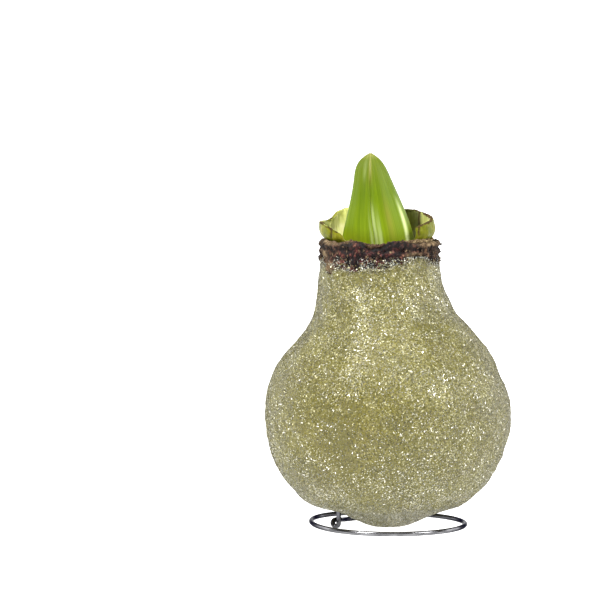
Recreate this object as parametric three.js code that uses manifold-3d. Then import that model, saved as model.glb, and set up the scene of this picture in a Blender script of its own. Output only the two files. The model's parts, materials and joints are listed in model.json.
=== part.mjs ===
// A waxed amaryllis bulb on its wire stand, in millimetres, +Z up.
// The origin is the middle of the flat spot that the bulb stands on; the stand's ring lies round it.
// -Y is the front, where the flower bud stands.
import * as THREE from "three";
import { mergeVertices } from "three/addons/utils/BufferGeometryUtils.js";
import Module from "manifold-3d";

const wasm = await Module();
wasm.setup();

// ---- Driving dimensions ----

const GAP = 0.3; // left between pieces that touch
const WAX = 1.6; // thickness of the wax coat
const GRAIN = 0.32; // height of the glitter's relief on the wax

// Outline of the coated bulb from the flat spot under it to the neck:
// radius, height, and how far the bulb's middle lies to the side at that height.
const COAT_OUTLINE = [
  [0, 0, 0],
  [3, 0, 0],
  [5.8, 0, 0],
  [7.6, 0.4, 0],
  [10.2, 1.6, 0],
  [13.4, 3.2, 0],
  [17, 4.8, 0.2],
  [21, 6.2, 0.3],
  [28.8, 8.8, -0.5],
  [35.2, 14.8, -0.3],
  [40.5, 23.2, -0.6],
  [43.3, 32.7, -0.4],
  [44, 41.5, -0.4],
  [42.9, 50, -0.4],
  [38.9, 58.7, -0.5],
  [34.4, 64.7, -0.3],
  [29.3, 71.2, -0.2],
  [25.1, 77, -1.4],
  [23.6, 82, -2.1],
  [22.1, 88, -3],
  [21.5, 95.5, -3.2],
];
const WAX_SHOULDER = 86; // above this height the coat runs up to its uneven edge
const WAX_EDGE = 95.6; // mean height of that edge
const CLEAR_OF_WAX = 110; // a height well above the edge
// Where the edge runs higher or lower: angle, angular width, rise.
const WAX_EDGE_WAVES = [
  [-122, 36, -1.7],
  [-96, 12, -0.6],
  [-54, 19, 2.3],
  [-12, 16, -0.7],
  [40, 22, 0.9],
  [88, 20, -1.1],
  [140, 18, 0.8],
];

// Broad bulges and hollows of the coat: angle, height, angular width, height width, rise.
const LUMPS = [
  [-106, 63, 15, 15, 1.5],
  [-69, 51, 15, 11, 1.5],
  [-88, 46, 12, 16, -0.9],
  [-114, 31, 20, 12, -0.8],
  [-118, 84, 20, 7, 0.7],
  [-30, 60, 16, 12, 0.9],
  [2, 53, 16, 6, -1.1],
  [0, 64, 14, 4, 0.5],
  [20, 36, 24, 16, 1.0],
  [62, 57, 16, 15, 1.3],
  [95, 40, 18, 18, -1.0],
  [130, 55, 18, 14, 1.4],
  [155, 28, 20, 14, -0.7],
];

const NECK = new THREE.Vector2(-3.2, 0); // middle of the neck
const NECK_RADIUS = 17.9; // the bulb's own neck, inside the dry skins
const NECK_CLEARANCE = 6; // the neck keeps that radius this far below the skins,
const NECK_WIDENING = 1.2; // then widens by this much for each millimetre down
const BULB_TOP = 98.5; // height where the packed scales are cut across
const TUNIC_RADIUS = 21.3; // outer skin, above the wax
const TUNIC_TAIL = 19.5; // outer skin, where it is tucked under the wax
const TUNIC_BOTTOM = 88.5;
const TUNIC_TOP = 103.2;
const SKIN = 1.3; // thickness of a dry skin, several papery layers together

// Flower bud: height, half width, half depth, middle in X, middle in Y.
const BUD_STATIONS = [
  [87, 8.6, 5.6, -3.2, -4.4],
  [92, 11.2, 7.4, -3.4, -4.4],
  [98, 12.7, 8.4, -3.7, -4.4],
  [103.8, 12.9, 8.5, -3.8, -4.4],
  [110.4, 11.3, 7.7, -4.1, -4.3],
  [117.1, 9.2, 6.6, -4.7, -4.1],
  [123.8, 7.1, 5.2, -5.6, -3.8],
  [128.1, 5.9, 4.2, -6.3, -3.6],
  [131, 4.6, 3.2, -6.6, -3.5],
  [132.6, 3.3, 2.3, -6.6, -3.4],
  [133.8, 1.7, 1.2, -6.6, -3.4],
  [134.4, 0.5, 0.4, -6.6, -3.4],
];
// Section of the bud, front ridge first, anticlockwise, in shares of its half width and half depth.
const BUD_SECTION = [
  [0.04, -1],
  [0.46, -0.88],
  [0.82, -0.6],
  [1, -0.05],
  [0.74, 0.62],
  [0, 1],
  [-0.7, 0.64],
  [-1, 0.02],
  [-0.62, -0.62],
];

// The seam between the bud's two valves: height, X.
const BUD_SEAM = [
  [80, -4],
  [96, -4.2],
  [103, -4.9],
  [110, -6.1],
  [117, -6.7],
  [140, -6.6],
];

const WIRE = 1.7; // diameter of the stand's wire
const RING = 27.7; // radius of its ring, to the middle of the wire
const RING_MIDDLE = new THREE.Vector2(0, -1.3);
const RING_START = 64; // angle of the wire's free end
const RING_RISE = 1.05; // the ring stands this much off the surface at the left, where it is sprung
const RING_RISE_AT = 160;
const RING_RISE_WIDTH = 62;
const TURN = 5; // radius of the turn that brings the wire back inside the ring
const EYE = new THREE.Vector3(-18.9, -6.2, 1.9); // middle of the small upright eye, where the wire enters it
const EYE_RADIUS = 1.05; // to the middle of the wire
const EYE_DEPTH = 2.1; // how far forward the eye carries the wire
const PRONG_TOP = 32;
const PRONG_CLEARANCE = 0.42; // between the prong and the sides of its hole

// ---- Small helpers ----

const radians = THREE.MathUtils.degToRad;
const { lerp, smoothstep, euclideanModulo } = THREE.MathUtils;

// A smooth function through rows of [position, value, value, ...].
function through(rows) {
  const size = rows[0].length - 1;
  const positions = rows.map((row) => row[0]);
  const values = rows.flatMap((row) => row.slice(1));
  const curve = new THREE.CubicInterpolant(positions, values, size, new Float64Array(size));
  return (position) => Array.from(curve.evaluate(position));
}

// An even random number from -1 to 1 for a pair of whole numbers, the same on every run.
function scatter(i, j) {
  const wave = Math.sin(i * 127.1 + j * 311.7 + 74.7) * 43758.5453;
  return 2 * (wave - Math.floor(wave)) - 1;
}

// Angle in degrees, brought between -180 and 180.
const signedAngle = (degrees) => euclideanModulo(degrees + 180, 360) - 180;

// A bell curve: 1 at 0, falling off over the given width.
const bell = (distance, width) => Math.exp(-((distance / width) ** 2));

// A lathe of rows and segments whose vertices are put at place(row, degrees, segment).
function turned(rowCount, segments, place) {
  const rows = Array.from({ length: rowCount }, (_, row) => new THREE.Vector2(1, row));
  const geometry = new THREE.LatheGeometry(rows, segments);
  const position = geometry.getAttribute("position");
  for (let segment = 0; segment <= segments; segment++) {
    const around = segment % segments;
    for (let row = 0; row < rowCount; row++) {
      const [x, y, z] = place(row, signedAngle((360 * around) / segments), around);
      position.setXYZ(segment * rowCount + row, x, y, z);
    }
  }
  return geometry;
}

function solidOf(geometry) {
  const bare = geometry.clone();
  bare.deleteAttribute("normal");
  bare.deleteAttribute("uv");
  const merged = mergeVertices(bare, 1e-4);
  const corners = merged.index.array;
  const triVerts = [];
  for (let i = 0; i < corners.length; i += 3) {
    const triangle = corners.slice(i, i + 3);
    if (new Set(triangle).size === 3) {
      triVerts.push(...triangle); // a lathe's flat triangles at its poles are left out
    }
  }
  const vertProperties = merged.getAttribute("position").array;
  return new wasm.Manifold(
    new wasm.Mesh({ numProp: 3, vertProperties, triVerts: new Uint32Array(triVerts) }),
  );
}

function geometryOf(solid) {
  const { vertProperties, triVerts } = solid.getMesh();
  const geometry = new THREE.BufferGeometry();
  geometry.setAttribute("position", new THREE.BufferAttribute(vertProperties, 3));
  geometry.setIndex(new THREE.BufferAttribute(triVerts, 1));
  const faceted = geometry.toNonIndexed();
  faceted.computeVertexNormals();
  return faceted;
}

// ---- The coated bulb's shape ----

const coatOutline = new THREE.CatmullRomCurve3(
  COAT_OUTLINE.map(([radius, height, aside]) => new THREE.Vector3(radius, height, aside)),
  false,
  "centripetal",
);

// The outline at rowCount places, moved inwards by depth along its own normal.
function outlineRows(rowCount, depth) {
  const rows = [];
  for (let row = 0; row < rowCount; row++) {
    const share = row / (rowCount - 1);
    const point = coatOutline.getPointAt(share);
    const along = coatOutline.getTangentAt(share);
    const inwards = new THREE.Vector2(-along.y, along.x).normalize();
    rows.push({
      radius: row === 0 ? 0 : Math.max(0, point.x + depth * inwards.x),
      height: Math.max(depth, point.y + depth * inwards.y),
      aside: point.z,
    });
  }
  return rows;
}

// How far the coat stands out from its outline. It dies away towards the flat spot and the neck.
function lumps(degrees, height) {
  const angle = radians(degrees);
  const window = smoothstep(height, 2, 20) * (1 - smoothstep(height, 78, 90));
  let rise = 0.9 * Math.sin(2 * angle) + 0.55 * Math.sin(3 * angle);
  rise += 0.3 * Math.sin(9 * angle) * smoothstep(height, 45, 60);
  for (const [at, level, width, tall, out] of LUMPS) {
    rise += out * bell(signedAngle(degrees - at), width) * bell(height - level, tall);
  }
  return rise * window;
}

// Height of the coat's uneven upper edge.
function waxEdge(degrees) {
  const angle = radians(degrees);
  let height = WAX_EDGE + 0.35 * Math.sin(7 * angle + 1) + 0.3 * Math.sin(13 * angle);
  for (const [at, width, rise] of WAX_EDGE_WAVES) {
    height += rise * bell(signedAngle(degrees - at), width);
  }
  return height;
}

// A solid in the shape of the coated bulb, taken in by depth. Its neck is closed by a flat lid at lidHeight,
// or by one that follows the coat's edge. maxNeck keeps the neck clear of the dry skins round it, and lets
// the shape widen again below them.
function bulbShape({ rowCount, segments, depth, grain = 0, lidHeight = null, maxNeck = Infinity }) {
  const rows = outlineRows(rowCount, depth);
  const last = rows[rowCount - 1];
  const neckTop = (degrees) => lidHeight ?? waxEdge(degrees);
  return turned(rowCount + 1, segments, (row, degrees, segment) => {
    const angle = radians(degrees);
    const lid = row === rowCount;
    const { radius, height, aside } = lid ? last : rows[row];
    const stretch = Math.max(0, height - WAX_SHOULDER) / (last.height - WAX_SHOULDER);
    const level = Math.min(height, WAX_SHOULDER) + stretch * (neckTop(degrees) - WAX_SHOULDER);
    let out = radius;
    if (height > depth) {
      out += lumps(degrees, height);
    }
    if (grain && height > 1.5 && row < rowCount - 1) {
      out += grain * scatter(segment, row);
    }
    out = Math.min(out, maxNeck + NECK_WIDENING * Math.max(0, TUNIC_BOTTOM - NECK_CLEARANCE - height));
    if (lid) {
      return [aside, 0, lidHeight ?? WAX_EDGE];
    }
    return [aside + out * Math.cos(angle), out * Math.sin(angle), level];
  });
}

// ---- The wire stand ----

const prong = new THREE.Vector2(EYE.x + EYE_RADIUS, EYE.y - EYE_DEPTH);

// Height of the middle of the ring's wire: flat on the surface, but for the sprung left side.
function ringHeight(degrees) {
  return WIRE / 2 + RING_RISE * bell(signedAngle(degrees - RING_RISE_AT), RING_RISE_WIDTH);
}

// The wire's middle line, from its free end round the ring, back inside it and up the prong.
function wirePoints() {
  const points = [];
  const ringEnd = 90 - 360;
  const ringSteps = 54;
  for (let step = 0; step < ringSteps; step++) {
    const degrees = lerp(RING_START, ringEnd, step / ringSteps);
    const angle = radians(degrees);
    const x = RING_MIDDLE.x + RING * Math.cos(angle);
    const y = RING_MIDDLE.y + RING * Math.sin(angle);
    points.push([x, y, ringHeight(degrees)]);
  }
  const turnMiddle = RING_MIDDLE.y + RING - TURN;
  const backHeight = ringHeight(ringEnd);
  for (let degrees = 90; degrees >= -90; degrees -= 20) {
    const angle = radians(degrees);
    points.push([RING_MIDDLE.x + TURN * Math.cos(angle), turnMiddle + TURN * Math.sin(angle), backHeight]);
  }
  points.push([-6, 15.4, backHeight], [-10.5, 12.2, backHeight], [-13.4, 8, 1.4]);
  points.push([-15.6, 3.2, 1.8], [-17, -1.6, 2.4], [-17.9, -4.8, 2.9]);
  for (let degrees = 100; degrees <= 340; degrees += 30) {
    const angle = radians(degrees);
    const forward = (EYE_DEPTH * (degrees - 90)) / 270;
    points.push([EYE.x + EYE_RADIUS * Math.cos(angle), EYE.y - forward, EYE.z + EYE_RADIUS * Math.sin(angle)]);
  }
  for (const height of [2.3, 4, 8, 16, 24, PRONG_TOP]) {
    points.push([prong.x, prong.y, height]);
  }
  return points.map(([x, y, z]) => new THREE.Vector3(x, y, z));
}

// A curve whose steps follow its own points instead of its length.
class WirePath extends THREE.CatmullRomCurve3 {
  getPointAt(share, target) {
    return this.getPoint(share, target);
  }

  getTangentAt(share, target) {
    return this.getTangent(share, target);
  }
}

function wireStand() {
  const points = wirePoints();
  const section = new THREE.Shape();
  section.absarc(0, 0, WIRE / 2, 0, 2 * Math.PI);
  return new THREE.ExtrudeGeometry(section, {
    curveSegments: 4,
    steps: points.length - 1,
    extrudePath: new WirePath(points, false, "centripetal"),
  });
}

// A straight hole for the prong, clear of the wire all round.
function prongHole() {
  const height = PRONG_TOP + GAP;
  const spare = 2; // the hole is cut from below the part
  const radius = WIRE / 2 + PRONG_CLEARANCE;
  const hole = new THREE.CylinderGeometry(radius, radius, height + spare, 12);
  hole.rotateX(Math.PI / 2);
  hole.translate(prong.x, prong.y, (height - spare) / 2);
  return solidOf(hole);
}

// ---- The flower bud ----

const budAt = through(BUD_STATIONS);
const budSection = new THREE.CatmullRomCurve3(
  BUD_SECTION.map(([x, y]) => new THREE.Vector3(x, y, 0)),
  true,
  "centripetal",
);

function budShape(rowCount, segments, grow = 0) {
  const bottom = BUD_STATIONS[0][0];
  const top = BUD_STATIONS.at(-1)[0];
  return turned(rowCount + 2, segments, (row, _, segment) => {
    const inner = THREE.MathUtils.clamp(row - 1, 0, rowCount - 1);
    const share = inner / (rowCount - 1);
    const height = lerp(bottom, top, 1 - (1 - share) ** 1.35);
    const [width, depth, x, y] = budAt(height);
    if (row === 0) {
      return [x, y, bottom - grow];
    }
    if (row === rowCount + 1) {
      return [x, y, top + grow];
    }
    const around = budSection.getPoint(segment / segments);
    const level = row === 1 ? bottom - grow : height;
    return [x + (width + grow) * around.x, y + (depth + grow) * around.y, level];
  });
}

// The two valves: the bud parted along the seam that runs down from its tip.
function budValves() {
  const seamAt = through(BUD_SEAM);
  const edge = [];
  for (let height = BUD_SEAM[0][0]; height <= BUD_SEAM.at(-1)[0]; height += 5) {
    edge.push(new THREE.Vector2(seamAt(height)[0], height));
  }
  const right = edge.map((point) => new THREE.Vector2(point.x + GAP / 2, point.y));
  const left = edge.map((point) => new THREE.Vector2(point.x - GAP / 2, point.y)).reverse();
  const reach = 40; // more than the bud's depth
  const seam = new THREE.ExtrudeGeometry(new THREE.Shape([...right, ...left]), {
    depth: reach,
    bevelEnabled: false,
  });
  seam.rotateX(Math.PI / 2);
  seam.translate(0, reach / 2, 0);
  const halves = solidOf(budShape(20, 28)).subtract(solidOf(seam)).decompose();
  return halves.sort((a, b) => a.boundingBox().min[0] - b.boundingBox().min[0]);
}

// ---- Dry skins and leaf bases ----

// A wall that stands on the cut bulb, round part of the neck. Its angles run from the first to the last row
// of reach: angle, outer radius at the foot, height of the top, outward lean. It leans between two heights,
// curls back in and thins towards its top, and its top can be ragged and its sides wavy.
function neckWall({ reach, thickness, steps, pieces, lean, curl = 0, thin = 1, ragged = 0, wavy = 0 }) {
  const first = reach[0][0];
  const last = reach.at(-1)[0];
  const at = through(reach);
  const outside = [];
  const inside = [];
  for (let piece = 0; piece <= pieces; piece++) {
    const degrees = lerp(first, last, piece / pieces);
    const angle = radians(degrees);
    const [radius] = at(degrees);
    const taper = 0.5 + 0.5 * Math.sqrt(Math.sin((Math.PI * (piece + 0.4)) / (pieces + 0.8)));
    const inner = radius - thickness * taper;
    outside.push(new THREE.Vector2(radius * Math.cos(angle), radius * Math.sin(angle)));
    inside.push(new THREE.Vector2(inner * Math.cos(angle), inner * Math.sin(angle)));
  }
  const wall = new THREE.ExtrudeGeometry(new THREE.Shape([...outside, ...inside.reverse()]), {
    depth: 1,
    steps,
    bevelEnabled: false,
  });
  const position = wall.getAttribute("position");
  const bottom = BULB_TOP + GAP;
  const spare = 20; // degrees past either end that still count as that end
  for (let i = 0; i < position.count; i++) {
    const angle = Math.atan2(position.getY(i), position.getX(i));
    const turn = euclideanModulo(THREE.MathUtils.radToDeg(angle) - first + spare, 360) - spare;
    const degrees = THREE.MathUtils.clamp(first + turn, first, last);
    const [foot, top, out] = at(degrees);
    const tear = ragged * scatter(Math.round(degrees), 5);
    const height = lerp(bottom, top + tear, position.getZ(i));
    const leaning = out * smoothstep(height, lean[0], lean[1]) - curl * smoothstep(height, lean[1], top + 1);
    const wave = wavy * Math.sin(radians(degrees * 9)) * smoothstep(height, bottom + 2, bottom + 8);
    const depth = foot - Math.hypot(position.getX(i), position.getY(i));
    const kept = lerp(1, thin, smoothstep(height, lean[0], top));
    const radius = foot - depth * kept + leaning + wave;
    position.setXYZ(i, NECK.x + radius * Math.cos(angle), NECK.y + radius * Math.sin(angle), height);
  }
  return wall;
}

// Height of the outer skin's torn upper edge. It is notched at the front, where the bud shows lowest.
function tunicTop(degrees, segment) {
  const notch = -1.9 * bell(signedAngle(degrees + 96), 10);
  const peaks = 0.9 * bell(signedAngle(degrees + 115), 7) + 0.7 * bell(signedAngle(degrees + 72), 9);
  return TUNIC_TOP + notch + peaks + 0.5 * scatter(segment, 3);
}

// The outer skin: a ring tucked between the wax and the bulb's neck, flaring out over the wax's edge.
function outerTunic() {
  const wall = 1.4;
  const tailWall = 1.25;
  const edgeLevel = 0.5; // share of the way from the tail to the top where it passes the wax's edge
  const flaredLevel = 0.58;
  const levels = [0, edgeLevel, flaredLevel, 0.72, 0.86, 1];
  const sides = [...levels.map((level) => [level, 1]), ...levels.toReversed().map((level) => [level, 0])];
  sides.push(sides[0]);
  const segments = 72;
  return turned(sides.length, segments, (row, degrees, segment) => {
    const [level, outer] = sides[row];
    const angle = radians(degrees);
    const edge = waxEdge(degrees) + GAP;
    const top = tunicTop(degrees, segment);
    const height =
      level <= edgeLevel
        ? lerp(TUNIC_BOTTOM, edge, level / edgeLevel)
        : lerp(edge, top, (level - edgeLevel) / (1 - edgeLevel));
    const flare = smoothstep(level, edgeLevel, flaredLevel);
    const outside = lerp(TUNIC_TAIL, TUNIC_RADIUS, flare);
    const inside = outside - lerp(tailWall, wall, flare);
    const crinkle = 0.22 * flare * (1.6 * scatter(segment, row) + Math.sin(11 * angle + 2));
    const radius = outer ? outside + crinkle : inside;
    return [NECK.x + radius * Math.cos(angle), NECK.y + radius * Math.sin(angle), height];
  });
}

// ---- The pieces ----

const finishes = {
  wax: { color: 0xa9a273, roughness: 0.35, metalness: 0.1 },
  flesh: { color: 0xb9b77c, roughness: 0.7, metalness: 0 },
  skin: { color: 0x49372f, roughness: 0.85, metalness: 0 },
  innerSkin: { color: 0x7a6a4e, roughness: 0.85, metalness: 0 },
  leafBase: { color: 0xa9ad5a, roughness: 0.5, metalness: 0 },
  bud: { color: 0x93af2c, roughness: 0.35, metalness: 0 },
  wire: { color: 0x8c8d90, roughness: 0.25, metalness: 1 },
};

const part = new THREE.Group();

function addPiece(name, geometry, finish) {
  const mesh = new THREE.Mesh(geometry, new THREE.MeshStandardMaterial(finishes[finish]));
  mesh.name = name;
  part.add(mesh);
}

const hole = prongHole();

const coat = solidOf(bulbShape({ rowCount: 46, segments: 72, depth: 0, grain: GRAIN }))
  .subtract(solidOf(bulbShape({ rowCount: 22, segments: 36, depth: WAX, lidHeight: CLEAR_OF_WAX })))
  .subtract(hole);
addPiece("wax_coat", geometryOf(coat), "wax");

const bulb = solidOf(
  bulbShape({ rowCount: 22, segments: 36, depth: WAX + GAP, lidHeight: BULB_TOP, maxNeck: NECK_RADIUS }),
)
  .subtract(solidOf(budShape(10, 24, GAP)))
  .subtract(hole);
addPiece("bulb", geometryOf(bulb), "flesh");

addPiece("outer_tunic", outerTunic(), "skin");

const innerSkin = neckWall({
  reach: [
    [-132, 17.9, 102.8, 1.7],
    [-120, 17.9, 103.4, 1.7],
    [-98, 17.9, 102, 1.7],
    [-60, 17.9, 103, 1.7],
    [0, 17.9, 103.8, 1.7],
    [60, 17.9, 104.2, 1.7],
    [118, 17.9, 103.8, 1.7],
  ],
  thickness: SKIN,
  steps: 3,
  pieces: 48,
  lean: [99.3, 102],
  ragged: 0.45,
});
addPiece("inner_tunic", innerSkin, "innerSkin");

const leftBase = neckWall({
  reach: [
    [80, 15.4, 111.4, 0.6],
    [98, 15.8, 112.8, 1],
    [114, 16.2, 114, 1.6],
    [132, 16.8, 113.7, 2.2],
    [150, 17.8, 111.5, 2.8],
    [165, 18.2, 110.2, 3],
    [180, 18.2, 109.5, 3],
    [194, 18.1, 109.3, 2.9],
    [205, 17.8, 108.4, 2.6],
    [214, 17.4, 107.2, 2.2],
    [222, 16.9, 105.8, 1.6],
  ],
  thickness: 2.2,
  steps: 5,
  pieces: 26,
  lean: [102.4, 105.6],
  thin: 0.5,
  wavy: 0.25,
});
addPiece("leaf_base_left", leftBase, "leafBase");

const rightBase = neckWall({
  reach: [
    [-42, 16.3, 108.4, 1.4],
    [-28, 16.3, 109.4, 2.5],
    [-12, 16.3, 110.3, 3.2],
    [2, 16.3, 111.1, 3.3],
    [14, 16.3, 111.8, 2.9],
    [32, 16.3, 113, 2.2],
    [52, 16.3, 113.6, 1.7],
    [76, 16.2, 112.6, 1.2],
  ],
  thickness: 2,
  steps: 6,
  pieces: 26,
  lean: [101.6, 106.2],
  curl: 1,
  thin: 0.5,
  wavy: 0.25,
});
addPiece("leaf_base_right", rightBase, "leafBase");

const backBase = neckWall({
  reach: [
    [15, 11.8, 105.6, 0.6],
    [50, 12, 108, 0.6],
    [100, 12, 107.6, 0.6],
    [150, 11.8, 105, 0.6],
  ],
  thickness: 1.8,
  steps: 3,
  pieces: 18,
  lean: [101, 107],
  thin: 0.6,
  wavy: 0.2,
});
addPiece("leaf_base_back", backBase, "leafBase");

const [leftValve, rightValve] = budValves();
addPiece("bud_valve_left", geometryOf(leftValve), "bud");
addPiece("bud_valve_right", geometryOf(rightValve), "bud");

addPiece("wire_stand", wireStand(), "wire");

export default part;
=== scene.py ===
# %% [markdown]
# # A waxed amaryllis bulb on its wire stand
#
# An amaryllis bulb is dipped in wax, rolled in crushed glass while the wax is soft, and set on a bent
# steel wire. It then flowers without soil or water. This notebook dresses a measured model of one: the
# model gives every piece its place and size, and each lesson below makes one piece or one finish.

# %% Load the measured model
import json
import math

import bmesh
import bpy
import numpy as np
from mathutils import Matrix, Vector, noise
from mathutils.bvhtree import BVHTree

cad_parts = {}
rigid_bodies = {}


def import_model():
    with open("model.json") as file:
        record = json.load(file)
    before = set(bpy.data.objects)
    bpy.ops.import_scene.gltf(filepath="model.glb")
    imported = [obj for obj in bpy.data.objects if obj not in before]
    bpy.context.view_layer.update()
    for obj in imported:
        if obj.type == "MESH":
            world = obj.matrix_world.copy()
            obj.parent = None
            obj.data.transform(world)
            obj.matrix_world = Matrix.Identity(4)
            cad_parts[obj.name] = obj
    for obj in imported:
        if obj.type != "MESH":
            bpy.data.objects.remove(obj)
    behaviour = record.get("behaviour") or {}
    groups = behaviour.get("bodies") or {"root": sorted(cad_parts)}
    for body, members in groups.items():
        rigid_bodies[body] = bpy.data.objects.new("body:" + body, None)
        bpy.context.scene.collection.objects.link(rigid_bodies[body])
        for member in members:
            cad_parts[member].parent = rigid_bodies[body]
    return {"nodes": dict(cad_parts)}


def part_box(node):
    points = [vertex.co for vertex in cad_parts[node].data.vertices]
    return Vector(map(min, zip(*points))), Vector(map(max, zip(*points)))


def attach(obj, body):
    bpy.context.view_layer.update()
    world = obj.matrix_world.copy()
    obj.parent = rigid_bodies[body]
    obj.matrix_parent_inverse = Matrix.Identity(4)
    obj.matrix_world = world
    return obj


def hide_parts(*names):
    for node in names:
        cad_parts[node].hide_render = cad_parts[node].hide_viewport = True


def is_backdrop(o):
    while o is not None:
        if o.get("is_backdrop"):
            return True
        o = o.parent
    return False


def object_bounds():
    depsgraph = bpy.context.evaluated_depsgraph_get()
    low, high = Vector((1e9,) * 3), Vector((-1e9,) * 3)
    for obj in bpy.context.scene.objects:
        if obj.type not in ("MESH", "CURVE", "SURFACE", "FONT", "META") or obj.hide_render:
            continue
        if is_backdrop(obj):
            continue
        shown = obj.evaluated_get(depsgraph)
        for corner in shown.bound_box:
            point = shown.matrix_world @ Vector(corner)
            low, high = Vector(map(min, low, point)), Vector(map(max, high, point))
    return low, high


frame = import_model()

scene = bpy.context.scene
cad_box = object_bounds()
MM = 0.001
print("measured model, mm:", [[round(value / MM, 1) for value in corner] for corner in cad_box])

# %% [markdown]
# ## Camera, floor and light
#
# A product shot of a small object is taken from far off with a long lens, so that the bulb's outline is
# nearly that of a side view. It stands on a light table: a sheet of opal acrylic, lit from below, which
# bends up into the background with no line between them. The glow from below fills the shadow under
# the bulb. A plain plane would show its far edge, and would leave the foot of the bulb dark.

# %% The camera
CAMERA_AT = Vector((-31.7, -1550, 212)) * MM
CAMERA_AIM = Vector((-31.7, 0, 81.5)) * MM
FOCAL_LENGTH = 260.3


def aim(thing, target):
    """Turns a camera or a light so that it looks at the target."""
    thing.rotation_euler = (target - thing.location).to_track_quat("-Z", "Y").to_euler()


lens = bpy.data.cameras.new("long lens")
lens.lens = FOCAL_LENGTH
lens.sensor_width = 36
camera = bpy.data.objects.new("camera", lens)
camera.location = CAMERA_AT
aim(camera, CAMERA_AIM)
scene.collection.objects.link(camera)
scene.camera = camera
scene.view_settings.view_transform = "Standard"
print("camera distance, m:", round((CAMERA_AT - CAMERA_AIM).length, 3))

# %% Small helpers for nodes and colours


def linear(hex_colour):
    """An sRGB hex colour as the linear RGBA that Blender's sockets take."""
    channels = [int(hex_colour[i : i + 2], 16) / 255 for i in (1, 3, 5)]
    return [c / 12.92 if c <= 0.04045 else ((c + 0.055) / 1.055) ** 2.4 for c in channels] + [1]


def fill(tree, node, inputs):
    """Gives each input a value or another node's output. A whole node stands for its first output in use."""
    for name, value in inputs.items():
        if isinstance(value, bpy.types.Node):
            value = next(output for output in value.outputs if output.enabled)
        if isinstance(value, bpy.types.NodeSocket):
            tree.links.new(value, node.inputs[name])
        else:
            node.inputs[name].default_value = value


def add(tree, kind, inputs=None, stops=None, **settings):
    """Adds a node with its settings and inputs; stops fill a colour ramp."""
    node = tree.nodes.new(kind)
    for name, value in settings.items():
        setattr(node, name, value)
    fill(tree, node, inputs or {})
    if stops:
        ramp = node.color_ramp.elements
        while len(ramp) < len(stops):
            ramp.new(0.5)
        for element, (position, colour) in zip(ramp, stops):
            element.position = position
            element.color = linear(colour)
    return node


def new_material(name):
    """A material with its node tree and its Principled shader."""
    material = bpy.data.materials.new(name)
    material.use_nodes = True
    return material, material.node_tree, material.node_tree.nodes["Principled BSDF"]


# %% The floor
# In metres: the sheet's half width, its front edge, where it starts to bend up, and how far up it goes.
FLOOR_HALF_WIDTH = 6.0
FLOOR_FRONT = -3.0
FLOOR_BEND = 2.6
BEND_RADIUS = 1.2
BEND_STEPS = 12
WALL_TOP = 4.0

profile = [(FLOOR_FRONT, 0), (FLOOR_BEND, 0)]
for step in range(1, BEND_STEPS + 1):
    turn = math.radians(90 * step / BEND_STEPS)
    profile.append((FLOOR_BEND + BEND_RADIUS * math.sin(turn), BEND_RADIUS * (1 - math.cos(turn))))
profile.append((FLOOR_BEND + BEND_RADIUS, WALL_TOP))

corners = [(side * FLOOR_HALF_WIDTH, y, z) for y, z in profile for side in (-1, 1)]
quads = [(2 * i, 2 * i + 1, 2 * i + 3, 2 * i + 2) for i in range(len(profile) - 1)]
floor_mesh = bpy.data.meshes.new("light table")
floor_mesh.from_pydata(corners, [], quads)
floor_mesh.polygons.foreach_set("use_smooth", [True] * len(quads))
floor = bpy.data.objects.new("light_table", floor_mesh)
scene.collection.objects.link(floor)

# Opal acrylic, cast and sanded matt: milky white, and glowing evenly from the lamps below it.
# The sanding is drawn 13 mm coarse, or it would not show.
SANDING = 13
acrylic, tree, shader = new_material("opal acrylic sheet")
space = add(tree, "ShaderNodeTexCoord").outputs["Object"]
grain = add(tree, "ShaderNodeTexNoise", {"Vector": space, "Scale": 1 / (SANDING * MM), "Detail": 2})
tint = add(tree, "ShaderNodeValToRGB", {"Fac": grain}, [(0, "#a2a2a2"), (1, "#a8a8a8")])
fill(
    tree,
    shader,
    {
        "Base Color": tint,
        "Roughness": 0.9,
        "Specular IOR Level": 0.2,
        "Emission Color": linear("#ffffff"),
        "Emission Strength": 1.5,
    },
)
floor_mesh.materials.append(acrylic)
floor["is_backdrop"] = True
print("floor quads:", len(quads))

# %% Soft boxes
# Azimuth from the front, towards +X; elevation; distance; width; height; power in watts.
SOFT_BOXES = {
    "key left": (-43, 45, 1.5, 0.4, 0.65, 38),
    "key right": (58, 32, 1.5, 0.6, 0.7, 27),
    "top": (0, 72, 1.4, 1.0, 1.0, 15),
    "side left": (-112, 15, 1.5, 0.9, 1.1, 12),
    "side right": (112, 12, 1.5, 0.9, 1.1, 13),
}
AIM_HEIGHT = 70 * MM

for name, (azimuth, elevation, distance, width, height, power) in SOFT_BOXES.items():
    light = bpy.data.lights.new(name, "AREA")
    light.shape = "RECTANGLE"
    light.size, light.size_y, light.energy = width, height, power
    box = bpy.data.objects.new(name, light)
    around, up = math.radians(azimuth), math.radians(elevation)
    away = Vector((math.sin(around) * math.cos(up), -math.cos(around) * math.cos(up), math.sin(up)))
    box.location = away * distance + Vector((0, 0, AIM_HEIGHT))
    aim(box, Vector((0, 0, AIM_HEIGHT)))
    scene.collection.objects.link(box)

world = bpy.data.worlds.new("studio")
scene.world = world
world.use_nodes = True
background = world.node_tree.nodes["Background"]
fill(world.node_tree, background, {"Color": linear("#f4f6f8"), "Strength": 0.14})
print("soft boxes:", len(SOFT_BOXES))

# %% [markdown]
# ## Tools for making pieces
#
# Three ways of making a mesh come back all through this lesson. The first takes a measured solid, welds
# its loose triangles and makes a copy that can be smoothed. The second sets closed rings of points one
# above the other and joins them, which suits anything that grows upwards. The third runs a Geometry
# Nodes tree and keeps its result as a plain mesh.

# %% Helpers for meshes


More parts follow.
